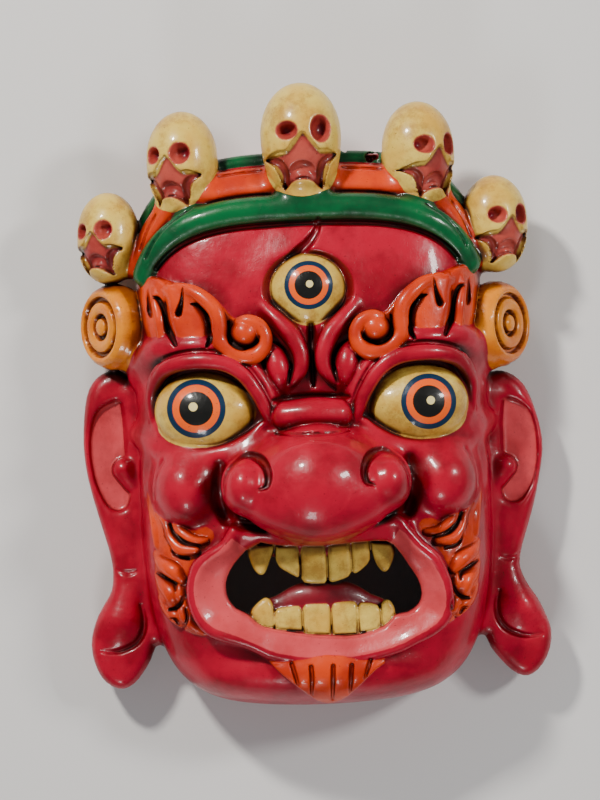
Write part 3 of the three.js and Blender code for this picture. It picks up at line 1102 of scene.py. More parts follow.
@dataclass
class Crown(Part):
    """The crown of skulls."""

    name = "skull crown"

    def carve(self, mask: Carving) -> None:
        """Carves the five skulls, each with its own size and turn."""
        middle = ((-0.35, 0.17, 0.25, 0.14), (0.5, 0.18, 0.24, 0.215))
        for centre, height, turn, sockets in (
            ((-0.5, 133.2, 60), 63.0, 0, middle),
            ((-64, 124.8, 50), 55.8, -31, Skull.sockets),
            ((61.5, 124.6, 50), 57.0, 36, Skull.sockets),
            ((-105.5, 87.5, 34), 49.0, -36, Skull.sockets),
            ((101.5, 87.2, 34), 52.0, 30, Skull.sockets),
        ):
            Skull(centre, height, turn, sockets).carve(mask)


@dataclass
class EarSpools(Part):
    """Barrel-shaped spools above the ears, with turned rings on their outer faces."""

    name = "ear spools"
    radius: float = 23.0
    length: float = 22.0
    lean: float = 55.0
    height: float = 31.0

    def carve(self, mask: Carving) -> None:
        """Carves both spools.

        Args:
            mask: The carving that it joins.
        """
        r, h = self.radius, self.length / 2
        rows = [(0, -h), (0.75 * r, -h), (0.93 * r, -0.6 * h), (r, -0.1 * h), (0.99 * r, 0.4 * h),
            (0.9 * r, 0.8 * h), (0.8 * r, h), (0.72 * r, 0.95 * h), (0.68 * r, 0.66 * h),
            (0.61 * r, 0.66 * h), (0.57 * r, 0.93 * h), (0.48 * r, h), (0.38 * r, 0.97 * h),
            (0.32 * r, 0.90 * h), (0.28 * r, 0.62 * h), (0.23 * r, 0.62 * h), (0.19 * r, 0.92 * h),
            (0.1 * r, 1.02 * h), (0, 1.04 * h)]
        profile = np.array(rows)
        for side, out, up in ((-1, -103.6, 40.0), (1, 99.6, 33.5)):
            lean = math.radians(self.lean * side)
            mask.add(Turned((out, up, self.height), lean, profile), Paint.AMBER, blend=1.0)


LEFT_EAR = (
    (-96, 13), (-104, 16.5), (-112, 15.5), (-118, 10.5), (-121.5, 3), (-123.3, -8), (-124.2, -22),
    (-123.4, -35), (-121, -48), (-118, -60), (-114.5, -73), (-112, -83), (-111, -92), (-112, -102),
    (-115, -108), (-119.5, -115), (-122.8, -122.5), (-124.2, -131), (-123, -140), (-119.4, -148.5),
    (-114, -153.6), (-108, -155.2), (-102, -152.5), (-97, -147), (-92.5, -140), (-89.5, -133), (-80, -120),
    (-80, -60), (-84, 5),
)
RIGHT_EAR = (
    (95, 7), (100, 8.5), (106, 7.5), (112, 3.5), (116.5, -3), (120, -12.5), (122.8, -24), (123.4, -35),
    (121, -49), (117.5, -64), (113, -78), (109.8, -88), (108.5, -96), (109.5, -104.5), (112.5, -111.5),
    (118, -118), (122, -125), (124.2, -132.5), (123.2, -142), (119, -150.5), (113.5, -155.6), (108, -156.5),
    (102, -153.3), (96.5, -147.5), (91.5, -141), (88.5, -134), (80, -120), (80, -60), (83, 0),
)


@dataclass
class Ear(Part):
    """A long ear with a raised rim, a hollow with a little ball in it, and a drooping lobe."""

    side: int
    back: float = 8.0
    thickness: float = 19.0
    name = "ear"

    def carve(self, mask: Carving) -> None:
        """Carves the ear, its hollow and its folds.

        Args:
            mask: The carving that it joins.
        """
        s = self.side
        outline = flowing(np.array(LEFT_EAR if s < 0 else RIGHT_EAR, float), 2)
        top = self.back + self.thickness
        mask.add(Plate(outline, self.back, top, 7.0), blend=6)
        rise = 0.0 if s < 0 else -7.0

        def on(rows: Sequence[Sequence[float]]) -> Array:
            """Puts places on this side's ear.

            Args:
                rows: x and y, drawn on the left ear.

            Returns:
                The places.
            """
            data = np.array(rows, float)
            data[:, 0] *= -s
            data[:, 1] += rise * np.clip((data[:, 1] + 90) / 60, 0, 1)
            return data

        hollow = on([(-101, 1), (-109, -1), (-116, -6), (-119.3, -16), (-119.8, -30), (-117.5, -44),
            (-112.5, -55), (-107, -58.5), (-102, -56.5), (-99.5, -50), (-97, -40), (-94, -20), (-96, -4)])
        shell = flowing(hollow, 3)
        mask.cut(Plate(shell, top - 4.6, top + 12, 1.5), blend=4.5)
        mask.tint(Plate(shell, top - 9, top + 3, 0.2), Paint.PINK)
        ball = Strand(np.column_stack([on([(-102.5, -37), (-99, -44)]), (top - 2.5, top - 3)]), (6.6, 5.0))
        mask.add(ball, blend=2)
        self._line(mask.add, on([(-98, 3), (-97, -12), (-96, -30), (-94, -60)]), top - 4, (5, 4.5, 5, 4), 4)
        self._line(mask.add, on([(-103, -106), (-107, -118), (-109, -124)]), top - 5.5, (6, 9.5, 8), 6)
        mask.groove([(-108.6, -90.6, 0.3), (-105, -92.2, 0.8), (-101.4, -92.6, 1.0), (-98.4, -91.6, 0.4)],
            side=s, tall=1.4, blend=2)
        mask.groove([(-96.3, -110, 0.5), (-95, -117, 1.0), (-95.6, -124, 1.5), (-99.5, -130, 1.7),
            (-106, -133.6, 1.5), (-112, -134.8, 1.1), (-118.5, -134.2, 0.5)], side=s, tall=1.5, blend=1.6)

    @staticmethod
    def _line(
        act: Callable[..., None], rows: Array, z: float, radii: Sequence[float], blend: float
    ) -> None:
        """Carves a strand at one height."""
        act(Strand(np.column_stack([rows, np.full(len(rows), z)]), radii), blend=blend)


@dataclass
class Eye(Part):
    """A bulging eye between heavy lids."""

    side: int
    centre: tuple[float, float] = (-56.5, -7.0)
    name = "eye"

    def carve(self, mask: Carving) -> None:
        """Carves the brow ridge, the eyeball and both lids.

        Args:
            mask: The carving that it joins.
        """
        s, (x, y) = self.side, self.centre
        z = float(HEAD.height(x, y))
        mask.add(strand([(-92, 14, -8, 6), (-82, 26, 0, 7), (-66, 27, 3, 7), (-50, 26, 3, 7),
            (-36, 18, 3, 6.4), (-27, 7, 3, 6), (-21, -6, 2, 5)], side=s), blend=7)
        mask.add(strand([(-92, -18, -8, 5), (-84, -24, -3, 5), (-70, -31, -2, 6), (-56, -33, -1, 6.4),
            (-43, -31, 0, 6.4), (-32, -26, 1, 6), (-24, -22, 1, 5)], side=s), blend=8)
        mask.add(Ball((-s * x, y, z - 8), (27, 22.0, 20.5)), Paint.IVORY, blend=0.6)
        mask.add(Ball((-s * (x + 15), y + 0.5, z - 9), (14, 13, 17.5)), Paint.IVORY, blend=6)
        mask.add(strand([(-85, -9, -1, 2.4), (-84.5, 4, 2, 3.6), (-79, 14.5, 6, 4.4), (-69, 18.8, 8.5, 4.6),
            (-57, 19.6, 9.5, 4.6), (-45, 17.6, 9.5, 4.4), (-35.5, 11.5, 9, 4.2), (-28.5, 1.5, 8, 4),
            (-24, -9, 6, 3.4), (-21, -17, 4, 2.4)], side=s), blend=1.6)
        mask.groove([(-84, 13, 0.4), (-79, 20, 0.8), (-68, 23.8, 1.0), (-55, 24.4, 1.0), (-42, 21.6, 1.0),
            (-32, 14.4, 0.9), (-25, 4, 0.8), (-20.5, -6, 0.4)], side=s, tall=1.4, blend=1.6)
        mask.add(strand([(-84, -12, -3, 1.6), (-79, -21, -0.5, 2.6), (-69, -27.6, 1.5, 3.0),
            (-56, -29.8, 2.5, 3.2), (-44, -27.6, 3, 3.0), (-34, -22.5, 4, 2.8), (-27, -16, 4, 2.2)],
            side=s), blend=3.0)


@dataclass
class ThirdEye(Part):
    """The upright eye, sunk in a pointed hollow of the forehead whose upper tip curls."""

    name = "third eye"

    def carve(self, mask: Carving) -> None:
        """Carves the hollow, the eyeball and the folds below it.

        Args:
            mask: The carving that it joins.
        """
        z = float(HEAD.height(0, 55))
        mask.add(Ball((0, 56, z - 9), (33, 30, 12.5)), blend=8)
        mask.cut(Ball((0.2, 55.5, z + 5.5), (25.5, 21.5, 13.5)), blend=1.6)
        mask.groove([(6.8, 92, 0.6), (6, 86.5, 1.6), (2, 80.5, 2.6), (-3.5, 75.5, 2.8), (-9, 71.5, 2.0)],
            tall=1.5, blend=1.6)
        mask.add(Ball((0, 55.8, z - 6), (20.4, 18.6, 14.5)), Paint.IVORY, blend=0.6)
        mask.add(Ball((0.2, 44, z - 6.5), (11.5, 11, 11)), Paint.IVORY, blend=6)
        for side, shift in ((-1, 0.0), (1, 1.4)):
            mask.add(strand([(-23, 46, -1.5, 3.6), (-16, 38.5, 1.5, 4.6), (-9.5, 31, 3.5, 4.9),
                (-5.4, 22, 4.4, 4.6), (-5.4, 14, 4.4, 4.2), (-8.6, 8, 3.4, 3.2), (-11.4, 4.4, 2, 1.6)],
                side=side, shift=shift), blend=2.4)
        mask.groove([(0.8, 36, 1.6), (0.9, 31, 2.2), (0.9, 22, 1.2), (0.9, 12, 1.1), (0.9, 4, 0.7)],
            tall=2.4, blend=1.6)


@dataclass
class Frown(Part):
    """Leaf-shaped folds of frowning skin beside the root of the nose."""

    side: int
    name = "frown"

    def carve(self, mask: Carving) -> None:
        """Carves the fold and the groove beside it.

        Args:
            mask: The carving that it joins.
        """
        s, dx = self.side, 0.0 if self.side < 0 else 1.4
        mask.add(strand([(-22, 27, 0, 2), (-18.5, 20, 3.6, 5.4), (-17, 12.5, 4.4, 6.2),
            (-15.4, 5, 2.6, 3.6), (-14, 0, 0, 2)], side=s, shift=dx), blend=1.6)
        mask.groove([(-19, 27.6, 0.5), (-14, 23.5, 1.2), (-11.2, 17.5, 1.3), (-11.2, 11.5, 1.1),
            (-12.6, 5.4, 0.6)], side=s, shift=dx, tall=2.4)


@dataclass
class Brow(Part):
    """A flaming eyebrow: two tongues at the temple and a ribbon that ends in a scroll by the nose."""

    side: int
    shift: float = 0.0
    name = "brow"

    def carve(self, mask: Carving) -> None:
        """Carves the tongues, the ribbon, the scroll and the slots between them.

        Args:
            mask: The carving that it joins.
        """
        s, dx = self.side, self.shift

        def patch(corners: Sequence[Sequence[float]], lift: float, rounding: float) -> None:
            """Adds a raised orange patch.

            Args:
                corners: Its outline, drawn on the left.
                lift: How far it stands up.
                rounding: Radius of its edges.
            """
            outline = flowing(np.array(corners, float), 3)
            outline[:, 0] = outline[:, 0] * -s + dx
            mask.add(Pad(outline, lift, rounding), Paint.ORANGE, 0.8)

        def lock(rows: Sequence[Sequence[float]], blend: float = 1.0) -> None:
            """Adds an orange strand."""
            mask.add(strand(rows, side=s, shift=dx), Paint.ORANGE, blend)

        def slot(*rows: tuple[float, float, float]) -> None:
            """Cuts a deep slot."""
            mask.groove(rows, side=s, shift=dx, tall=3.0)

        patch([(-90, 66), (-84, 66), (-76, 63.6), (-66, 59.4), (-58, 57), (-50, 52.6), (-44, 46), (-39, 41),
            (-30, 41), (-22, 35), (-21, 25), (-27, 18.5), (-36, 19), (-45, 23), (-52, 29), (-60, 27),
            (-70, 29), (-77, 28), (-84, 33), (-88, 42), (-90.4, 55)], 2.6, 1.5)
        patch([(-90, 65.4), (-84, 66), (-76, 63), (-73, 57), (-75.4, 51), (-76.4, 45), (-76, 38),
            (-74.4, 30), (-77.4, 26.4), (-82, 28.6), (-86, 34), (-88.6, 42), (-90.4, 54)], 6.2, 3.2)
        lock([(-80.6, 58, 5, 1.6), (-80.6, 51, 6.4, 2.2), (-79, 43, 6.4, 2.8), (-78, 34, 5, 2.4)], 1.5)
        patch([(-74, 61.6), (-66, 59.6), (-60, 56.6), (-56.4, 51.6), (-57.4, 48), (-54.6, 43), (-53.4, 37),
            (-54, 31), (-57.4, 26), (-62, 24.4), (-67, 26), (-70.4, 31), (-72.6, 37), (-74.4, 44),
            (-75, 51), (-78, 58)], 8.6, 4.2)
        lock([(-69, 59, 5, 2.4), (-60.5, 56.2, 7.5, 3.4), (-53.5, 51, 9, 4.0), (-48.6, 45, 9.4, 4.2),
            (-47.2, 37.6, 9, 4.2), (-47.4, 30.4, 8.4, 4.4), (-43.4, 24.8, 8, 4.6), (-37, 21.4, 8, 4.6),
            (-30, 20.8, 8, 4.4), (-24.9, 24.6, 8, 4.2), (-23.5, 31, 8, 4), (-26.4, 37, 8.4, 3.6),
            (-32, 39.4, 8.4, 3.4), (-37, 39, 7, 2.6)], 0.8)
        boss = tuple(HEAD.place([(-s * -34 + dx, 33.4, 5.4)])[0])
        mask.add(Ball(boss, (7.4, 7.2, 7.6)), Paint.ORANGE, 0.8)
        slot((-84.6, 58, 0.4), (-84.5, 52, 1.0), (-84.1, 47, 1.4), (-83.4, 44, 0.7))
        slot((-82.4, 54.4, 0.5), (-79, 53, 1.2), (-76.4, 47.6, 1.2), (-75.2, 40, 1.1), (-73, 34, 1.6),
            (-70.6, 28.4, 1.2))
        slot((-65.6, 58.2, 0.4), (-66.2, 53, 0.8), (-67.2, 48.6, 1.5), (-68.4, 45, 2.0))
        slot((-61.4, 49.6, 0.5), (-57, 48.2, 1.1), (-53.2, 43.6, 1.4), (-51.7, 37, 1.3), (-52.2, 30.6, 1.4),
            (-54, 27, 1.0))
        slot((-42.4, 39.6, 0.6), (-43, 34, 1.3), (-41.8, 29.4, 1.4), (-38, 26, 1.5), (-33, 25.2, 1.5),
            (-28.4, 27, 1.2), (-26.6, 31, 0.5))


@dataclass
class Nose(Part):
    """A bar across the root, a broad nose, and nostrils carved as hooked scrolls."""

    name = "nose"

    def carve(self, mask: Carving) -> None:
        """Carves the bridge, the root bar, the wings and the hooks of the nostrils.

        Args:
            mask: The carving that it joins.
        """
        z = HEAD.depth
        mask.add(Ball((0.5, -40, z + 2), (46, 19, 22)), blend=8)
        mask.add(Ball((0.5, -48, z + 8), (47.5, 17.5, 22)), blend=8)
        bridge = np.array([(0.5, -30, z), (1, -37, z + 8), (1.2, -44, z + 15)])
        mask.add(Strand(bridge, (17, 22, 25)), blend=10)
        mask.add(Ball((1.0, -51.5, z + 15.3), (31, 27, 27)), blend=14)
        for side in (-1, 1):
            mask.add(Ball((21 * side + 1, -55, z + 14), (17, 14.5, 19)), blend=9)
        mask.add(strand([(-13.4, -11.4, 7, 8.2), (0, -10.8, 9, 8.8), (12.4, -11.2, 7, 8.4)]), blend=0.6)
        mask.groove([(-19, -19.8, 0.6), (-10, -20.8, 1.3), (0, -20.8, 1.5), (10, -20.8, 1.3),
            (18, -19.8, 0.6)], blend=1.4)
        mask.groove([(-20, -3, 0.7), (-10, -2, 1.5), (0, -1.6, 1.7), (10, -2, 1.5), (19, -2.6, 0.7)],
            blend=1.6)
        for side in (-1, 1):
            x = 37.6 * side + 0.4
            mask.add(Ball((x, -47, z + 13), (12.4, 15.4, 20)), blend=4)
            mask.groove([(-48.8, -53, 0.6), (-48.2, -43, 1.6), (-43.4, -34.6, 2.0), (-35.4, -30.8, 2.2),
                (-28.2, -33.8, 2.3), (-25.0, -40.6, 2.1), (-25.9, -46.8, 1.6), (-29.4, -48.6, 0.7)],
                side=side, shift=0.5, tall=2.2, blend=1.4)
            mask.groove([(-51, -56, 1.0), (-48, -63, 2.0), (-39, -67, 2.4), (-31, -70, 2.2),
                (-25, -76, 1.6)], side=side, shift=0.8, tall=1.6, blend=4)


@dataclass
class Cheek(Part):
    """A ball-shaped cheek with a laugh line beside it."""

    side: int
    name = "cheek"

    def carve(self, mask: Carving) -> None:
        """Carves the cheek and its lines.

        Args:
            mask: The carving that it joins.
        """
        s = self.side
        mask.add(Ball((s * 67.4, -47.5, 61), (18.4, 20.4, 22)), blend=8)
        mask.add(strand([(-86, -26, -3, 3), (-88.6, -38, -5, 3), (-88.4, -50, -7, 2.6)], side=s), blend=4)
        mask.groove([(-80, -32, 0.5), (-84.6, -40, 0.9), (-86, -52, 0.7)], side=s, tall=1.4, blend=2)
        mask.groove([(-49.6, -36, 0.8), (-50.6, -46, 1.6), (-50.6, -56, 2.4), (-47, -64, 2.6)], side=s,
            tall=1.6, blend=4)


LIP_RIM = (
    (-45, -69), (-50, -76.5), (-58, -81.5), (-65, -87), (-68.3, -95), (-69.2, -103), (-67.6, -112),
    (-64.3, -119), (-59.5, -124), (-51.5, -127.4), (-42, -130.5), (-34.5, -134.2), (-27.5, -138),
    (-15, -141), (0, -142.6), (15, -142.6), (30, -140), (42, -136.6), (50, -132.8), (59.6, -128.4),
    (67, -122.2), (69.4, -115), (69, -105), (67, -97.5), (62.5, -87.6), (54.6, -80.6), (47, -71),
    (42.5, -66), (22, -72), (0, -74), (-22, -72),
)
MOUTH = (
    (-38, -81), (-44.6, -88), (-48.6, -95), (-49.6, -101), (-48.4, -107), (-44.6, -112), (-39, -115),
    (-36.6, -117), (-30, -122), (-12, -126), (4, -128), (20, -128), (33, -124), (39, -118.6), (46, -117.4),
    (51.6, -113.6), (53.8, -107.6), (52, -100), (47.4, -92.4), (42, -84), (36, -79), (20, -79), (0, -80),
    (-20, -79), (-30, -77),
)
LIP_PAINT = (
    (-45, -74), (-52, -80.4), (-60, -86), (-65.2, -94), (-66.2, -103), (-64.6, -111), (-61, -117.4),
    (-55, -122), (-44, -126), (-34, -131), (-24, -135.6), (-12, -138.2), (0, -139.4), (15, -139.4),
    (30, -137), (42, -133.4), (52, -128.6), (61, -123.4), (66, -115), (65.8, -105), (63, -97), (58, -88.6),
    (50, -80.6), (43, -72.6), (38, -80), (20, -84), (0, -86), (-20, -84), (-38, -80),
)


@dataclass
class Mouth(Part):
    """The open mouth: lips that slope in from a raised rim, and the way through to the hollow."""

    name = "mouth"

    def carve(self, mask: Carving) -> None:
        """Carves the lips and cuts the mouth.

        Args:
            mask: The carving that it joins.
        """
        rim = flowing(np.array(LIP_RIM, float), 2)
        middle = np.array([1.0, -103.0])
        crest = middle + (np.array(LIP_RIM[:28], float) - middle) * np.array([0.966, 0.945])
        mask.add(Pad(rim, 10.5, 3.0, 8.0, 17.0), blend=3)
        mask.add(Strand(HEAD.place([(x, y, 7.6) for x, y in crest]), [2.9] * len(crest)), blend=3)
        mask.add(strand([(-44, -74, 0, 5), (-24, -76, 1, 6), (0, -79, 1, 6.4), (24, -76, 1, 6),
            (44, -73, 0, 5)]), blend=4)
        opening = flowing(np.array(MOUTH, float), 2)
        mask.cut(Plate(opening, 6, 130, 1.0), blend=3.5)
        mask.tint(Plate(flowing(np.array(LIP_PAINT, float), 2), 30, 92, 0.1), Paint.PINK)


@dataclass
class Teeth(Part):
    """Both rows of teeth, their gums, and the tongue."""

    name = "teeth and tongue"
    front: float = 61.0
    root: float = 17.0
    bulge: float = 6.0
    edge: float = 2.6

    def carve(self, mask: Carving) -> None:
        """Carves the gums, the tongue and each tooth.

        Args:
            mask: The carving that it joins.
        """
        gums = [(-42, -76, 52), (-22, -80, 57), (1, -82, 58), (22, -80, 57), (44, -75.5, 52)]
        mask.add(Strand(np.array(gums), (6, 7.4, 8, 7.4, 6)), blend=2.5)
        jaw = [(-39, -122, 50), (-22, -127, 54), (1, -129, 55), (22, -128, 54), (40, -123, 50)]
        mask.add(Strand(np.array(jaw), (8, 9.5, 10, 9.5, 7)), blend=2.5)
        mask.add(Ball((0, -115, 57), (38, 12.5, 7.5)), Paint.TONGUE_AND_SHADE, blend=1.0)
        mask.add(Ball((2, -106.6, 56.5), (19, 8.6, 8.5)), Paint.TONGUE_AND_SHADE, blend=9.0)
        for x0, x1, root, tip0, tip1 in (
            (-22.6, -10.2, -79, -90, -97.6), (-9.4, 4.0, -79, -99.6, -100.8),
            (4.9, 16.9, -79, -100.6, -97.2), (17.5, 27.2, -78, -96.6, -91),
            (-24.6, -10.0, -125, -113, -111.4), (-9.5, 5.1, -128, -110.8, -109.8),
            (5.7, 19.4, -128.6, -110, -110.6), (19.9, 31.6, -127.4, -111, -113),
        ):
            down = 1.0 if root > tip0 else -1.0
            self._tooth(mask, [(x0, root), (x0 - 0.2, tip0 + 4 * down), (x0 + 0.7, tip0 + 1.2 * down),
                (x0 + 2.6, tip0 * 0.8 + tip1 * 0.2), (x1 - 2.6, tip1 * 0.8 + tip0 * 0.2),
                (x1 - 0.7, tip1 + 1.2 * down), (x1 + 0.2, tip1 + 4 * down), (x1, root)])
        self._tooth(mask, [(-37.8, -78), (-37, -84), (-34.6, -91), (-31.6, -94.4), (-28.6, -93.6),
            (-25.6, -87), (-23.4, -82), (-23, -78)])
        self._tooth(mask, [(27.6, -79), (28.4, -86), (31.4, -93), (34.6, -95.6), (37.6, -93), (40.2, -86),
            (40, -80)])
        self._tooth(mask, [(-38, -118), (-35.6, -112), (-31, -107.8), (-28, -107), (-25.4, -110),
            (-24.6, -116), (-25, -123), (-32, -123)])
        self._tooth(mask, [(32, -125), (31.8, -115), (33, -111.4), (36, -110.6), (38.6, -113.6),
            (39.4, -119), (38, -125)])

    def _tooth(self, mask: Carving, corners: Sequence[Sequence[float]]) -> None:
        """Adds one tooth.

        Args:
            mask: The carving that it joins.
            corners: The tooth's outline as seen from the front.
        """
        outline = flowing(np.array(corners, float), 3)
        tooth = Plate(outline, self.front - self.root, self.front + self.bulge, self.edge)
        mask.add(tooth, Paint.IVORY, blend=0.3)


@dataclass
class Beard(Part):
    """Flame-shaped locks beside the mouth and a pointed fan of short ones under the lip."""

    name = "beard"

    def carve(self, mask: Carving) -> None:
        """Carves both sides of the beard and the fan under the lip."""
        for side in (-1, 1):
            self._side(mask, side)
        self._chin(mask)

    def _side(self, mask: Carving, s: int) -> None:
        """Carves the locks beside the mouth.

        Args:
            mask: The carving that it joins.
            s: -1 for the left and 1 for the right.
        """
        dx = -0.5 if s < 0 else -1.0

        def put(act: Callable[..., None], rows: Sequence[Sequence[float]], *rest: object) -> None:
            """Puts a strand on this side."""
            act(strand(rows, side=s, shift=dx), *rest)

        outline = flowing(np.array([(-89.5, -48), (-85, -56), (-80, -62), (-72, -66), (-62, -66),
            (-54, -70), (-54, -76), (-60, -82), (-66, -88), (-69.4, -95), (-70.6, -103), (-69, -112),
            (-65, -119.6), (-60, -125.4), (-67, -124.4), (-74, -120.6), (-79.6, -114.6), (-84, -107),
            (-86.4, -98), (-86.6, -89), (-85.6, -80), (-87, -68), (-89, -58)], float), 2)
        outline[:, 0] = outline[:, 0] * -s + dx
        mask.add(Pad(outline, 1.6, 1.2), Paint.ORANGE, 1.0)
        for rows in (
            [(-88.6, -50, -4, 1.6), (-86.6, -58, -3, 2.4), (-84.8, -68, -1, 3), (-84, -77, -1, 2.6)],
            [(-84, -60, 0, 1.6), (-79.4, -66, 2, 3), (-77.4, -73, 3, 3.4), (-72, -79, 3.4, 3.4),
            (-64, -80, 3, 2.4)],
            [(-74, -66, 2, 2.4), (-70.6, -71, 3.4, 3.2), (-64.6, -75, 3.4, 3), (-58, -75, 2, 1.8)],
            [(-85, -82, -1, 2.4), (-81.4, -87, 1.6, 4.2), (-76, -90.6, 2.6, 4.6), (-72, -95, 1.8, 3)],
            [(-84.6, -93, -1, 2.4), (-81.6, -98, 1.4, 4), (-77.6, -103, 2.4, 4.8), (-77.6, -108, 1.6, 3.4)],
            [(-74, -98, 1, 2), (-73, -103, 1.6, 3), (-74, -107, 0.6, 2)],
            [(-83.6, -105, -2, 2), (-80.6, -110.6, 0.4, 3.2), (-76, -115, 1.6, 3.8), (-73.6, -119, 0.6, 2)],
            [(-73.4, -109, 1, 1.8), (-72, -114, 1.6, 2.8), (-68.4, -119.4, 1.2, 2.6),
            (-63.6, -123.6, 0, 1.6)],
        ):
            put(mask.add, rows, Paint.ORANGE, 0.6)
        for rows in (
            [(-84.4, -61, 0.5), (-81.4, -67, 1.0), (-79.8, -74, 1.1), (-75, -81.6, 1.3), (-68, -84, 1.0)],
            [(-77, -66, 0.6), (-74, -71.6, 1.0), (-68.6, -75.8, 1.1), (-62, -77.6, 0.8)],
            [(-85.6, -91.6, 0.5), (-80.4, -94.6, 0.8), (-75.8, -97, 0.9), (-75.4, -101, 0.5)],
            [(-71.6, -105, 0.7), (-74.4, -109.6, 1.0), (-79.6, -111.4, 0.7)],
            [(-79, -116, 0.7), (-76.2, -116.6, 1.0), (-74.6, -119.4, 0.7)],
            [(-70.4, -111, 0.5), (-70, -116.4, 0.8), (-72.4, -121.4, 0.6)],
        ):
            mask.groove(rows, side=s, shift=dx, tall=2.6)

    @staticmethod
    def _chin(mask: Carving) -> None:
        """Carves the fan under the lip.

        Args:
            mask: The carving that it joins.
        """
        fan = [(-28, -140), (-25, -143.6), (-20, -148.6), (-14, -153.6), (-8, -158.8), (-3.4, -162.4),
            (2.4, -164.6), (7.8, -163.2), (12.6, -160.4), (18, -155.6), (23.4, -150.4), (28.4, -146),
            (32.6, -140.6), (2, -138)]
        chin = Ball((0, -146, 46), (62, 19.8, 28.4))
        mask.add(Within(chin, flowing(np.array(fan, float), 2)), Paint.ORANGE, blend=0.8)
        for rows in (
            [(-16.4, -141.6, 1.2), (-15, -147, 1.2), (-13.4, -153, 0.9)],
            [(-6.2, -143.6, 1.3), (-6, -150, 1.3), (-6.6, -159.6, 0.8)],
            [(5.4, -143.6, 1.3), (5, -152, 1.3), (4.4, -162.4, 0.8)],
            [(15.2, -143.6, 1.3), (14.6, -150, 1.3), (13.8, -159, 0.8)],
            [(25.2, -141.6, 1.2), (23.6, -146, 1.2), (21.8, -151, 0.8)],
        ):
            mask.groove(rows, tall=1.8)


@dataclass
class Hollow(Part):
    """The flat rim the mask lies on and the hollow for the wearer's face."""

    name = "hollow"

    def carve(self, mask: Carving) -> None:
        """Cuts the hollow and the flat rim.

        Args:
            mask: The carving that it joins.
        """
        mask.cut(NOSE_ROOM, blend=3)
        mask.cut(FACE_ROOM, blend=3)
        mask.cut(Block((0, 0, -60), (300, 300, 60), 0.1), blend=1.6)


# Paint


@dataclass(frozen=True)
class Finish:
    """One paint as it looks dry: its colour, a second colour that it drifts to, its gloss and its coat."""

    colour: Colour
    drift: Colour
    roughness: float
    coat: float
    soft: float = 0.25


FINISHES: dict[str, Finish] = {
    "red": Finish((0.40, 0.0018, 0.022), (0.25, 0.0012, 0.012), 0.34, 0.22),
    "pink": Finish((0.60, 0.062, 0.072), (0.48, 0.038, 0.046), 0.34, 0.25),
    "orange": Finish((0.62, 0.044, 0.003), (0.42, 0.020, 0.002), 0.36, 0.22),
    "green": Finish((0.002, 0.105, 0.028), (0.002, 0.052, 0.016), 0.32, 0.3),
    "amber": Finish((0.72, 0.235, 0.004), (0.56, 0.12, 0.002), 0.30, 0.4),
    "ivory": Finish((0.66, 0.47, 0.085), (0.58, 0.33, 0.045), 0.34, 0.35),
    "blush": Finish((0.42, 0.065, 0.045), (0.27, 0.025, 0.022), 0.40, 0.3, 0.6),
    "tongue": Finish((0.17, 0.004, 0.012), (0.10, 0.003, 0.008), 0.38, 0.25, 1.0),
    "bare": Finish((0.26, 0.13, 0.06), (0.14, 0.065, 0.03), 0.75, 0.0),
}


@dataclass(frozen=True)
class Iris:
    """The painted rings of one eye and the painted highlight on its pupil, in millimetres."""

    centre: tuple[float, float]
    radius: float
    dot: tuple[float, float]


IRISES = (
    Iris((-61, -5.5), 15.5, (-62.5, -4.5)),
    Iris((61, -6.5), 14.6, (62, -6.0)),
    Iris((0.5, 57), 12.8, (1, 57.5)),
)

# The rings of an iris from the outermost in: the share of its radius that each reaches, and its tone
RINGS = ((1.0, (0.003, 0.022, 0.055)), (0.81, (0.80, 0.10, 0.004)), (0.575, (0.006, 0.006, 0.005)))
# Colour of the small painted highlight on each pupil
PUPIL_GLINT = (0.72, 0.6, 0.25)


@dataclass(frozen=True)
class WearAndShade:
    """One way in which the paint has aged, or painted shade laid in its cuts and hollows.

    Attributes:
        low: Where it starts to show in its cloud or cavity.
        high: Where it shows in full.
        strength: How much of it shows there.
        tone: The colour that it lays on, or multiplies by.
    """

    low: float
    high: float
    strength: float
    tone: Colour


# Stain, smear and specks are dirt and wear of the paint; the darkening of the broad hollows, of the cuts
# and of the deepest creases is painted shade.
WEAR_AND_SHADE = {
    "stain": WearAndShade(0.44, 0.66, 0.7, (0.33, 0.15, 0.018)),
    "smear": WearAndShade(0.52, 0.78, 0.7, (0.42, 0.36, 0.36)),
    "hollows": WearAndShade(0.20, 0.90, 0.85, (0.30, 0.18, 0.20)),
    "cuts": WearAndShade(0.34, 0.9, 1.0, (0.26, 0.13, 0.12)),
    "deep_shade": WearAndShade(0.74, 1.12, 0.92, (0.007, 0.004, 0.003)),
    "specks": WearAndShade(0.69, 0.74, 0.55, (0.03, 0.008, 0.006)),
}


@dataclass(frozen=True)
class Cloud:
    """One cloudy noise: how fine it is, its detail and its roughness."""

    scale: float
    detail: float
    roughness: float = 0.55


CLOUDS = {
    "drift": Cloud(45, 5),
    "wobble": Cloud(260, 3),
    "stain": Cloud(70, 8, 0.75),
    "grime": Cloud(110, 6, 0.65),
    "smear": Cloud(26, 9, 0.72),
    "specks": Cloud(850, 2, 0.5),
    "waves": Cloud(75, 2, 0.5),
    "dents": Cloud(240, 2, 0.5),
    "hairs": Cloud(700, 3, 0.6),
    "pits": Cloud(480, 2, 0.5),
}

# How high each part of the paint's relief stands, against the broad waves
RELIEF = {"waves": 1.0, "hairs": 0.10, "dents": 0.26, "pits": 0.07}


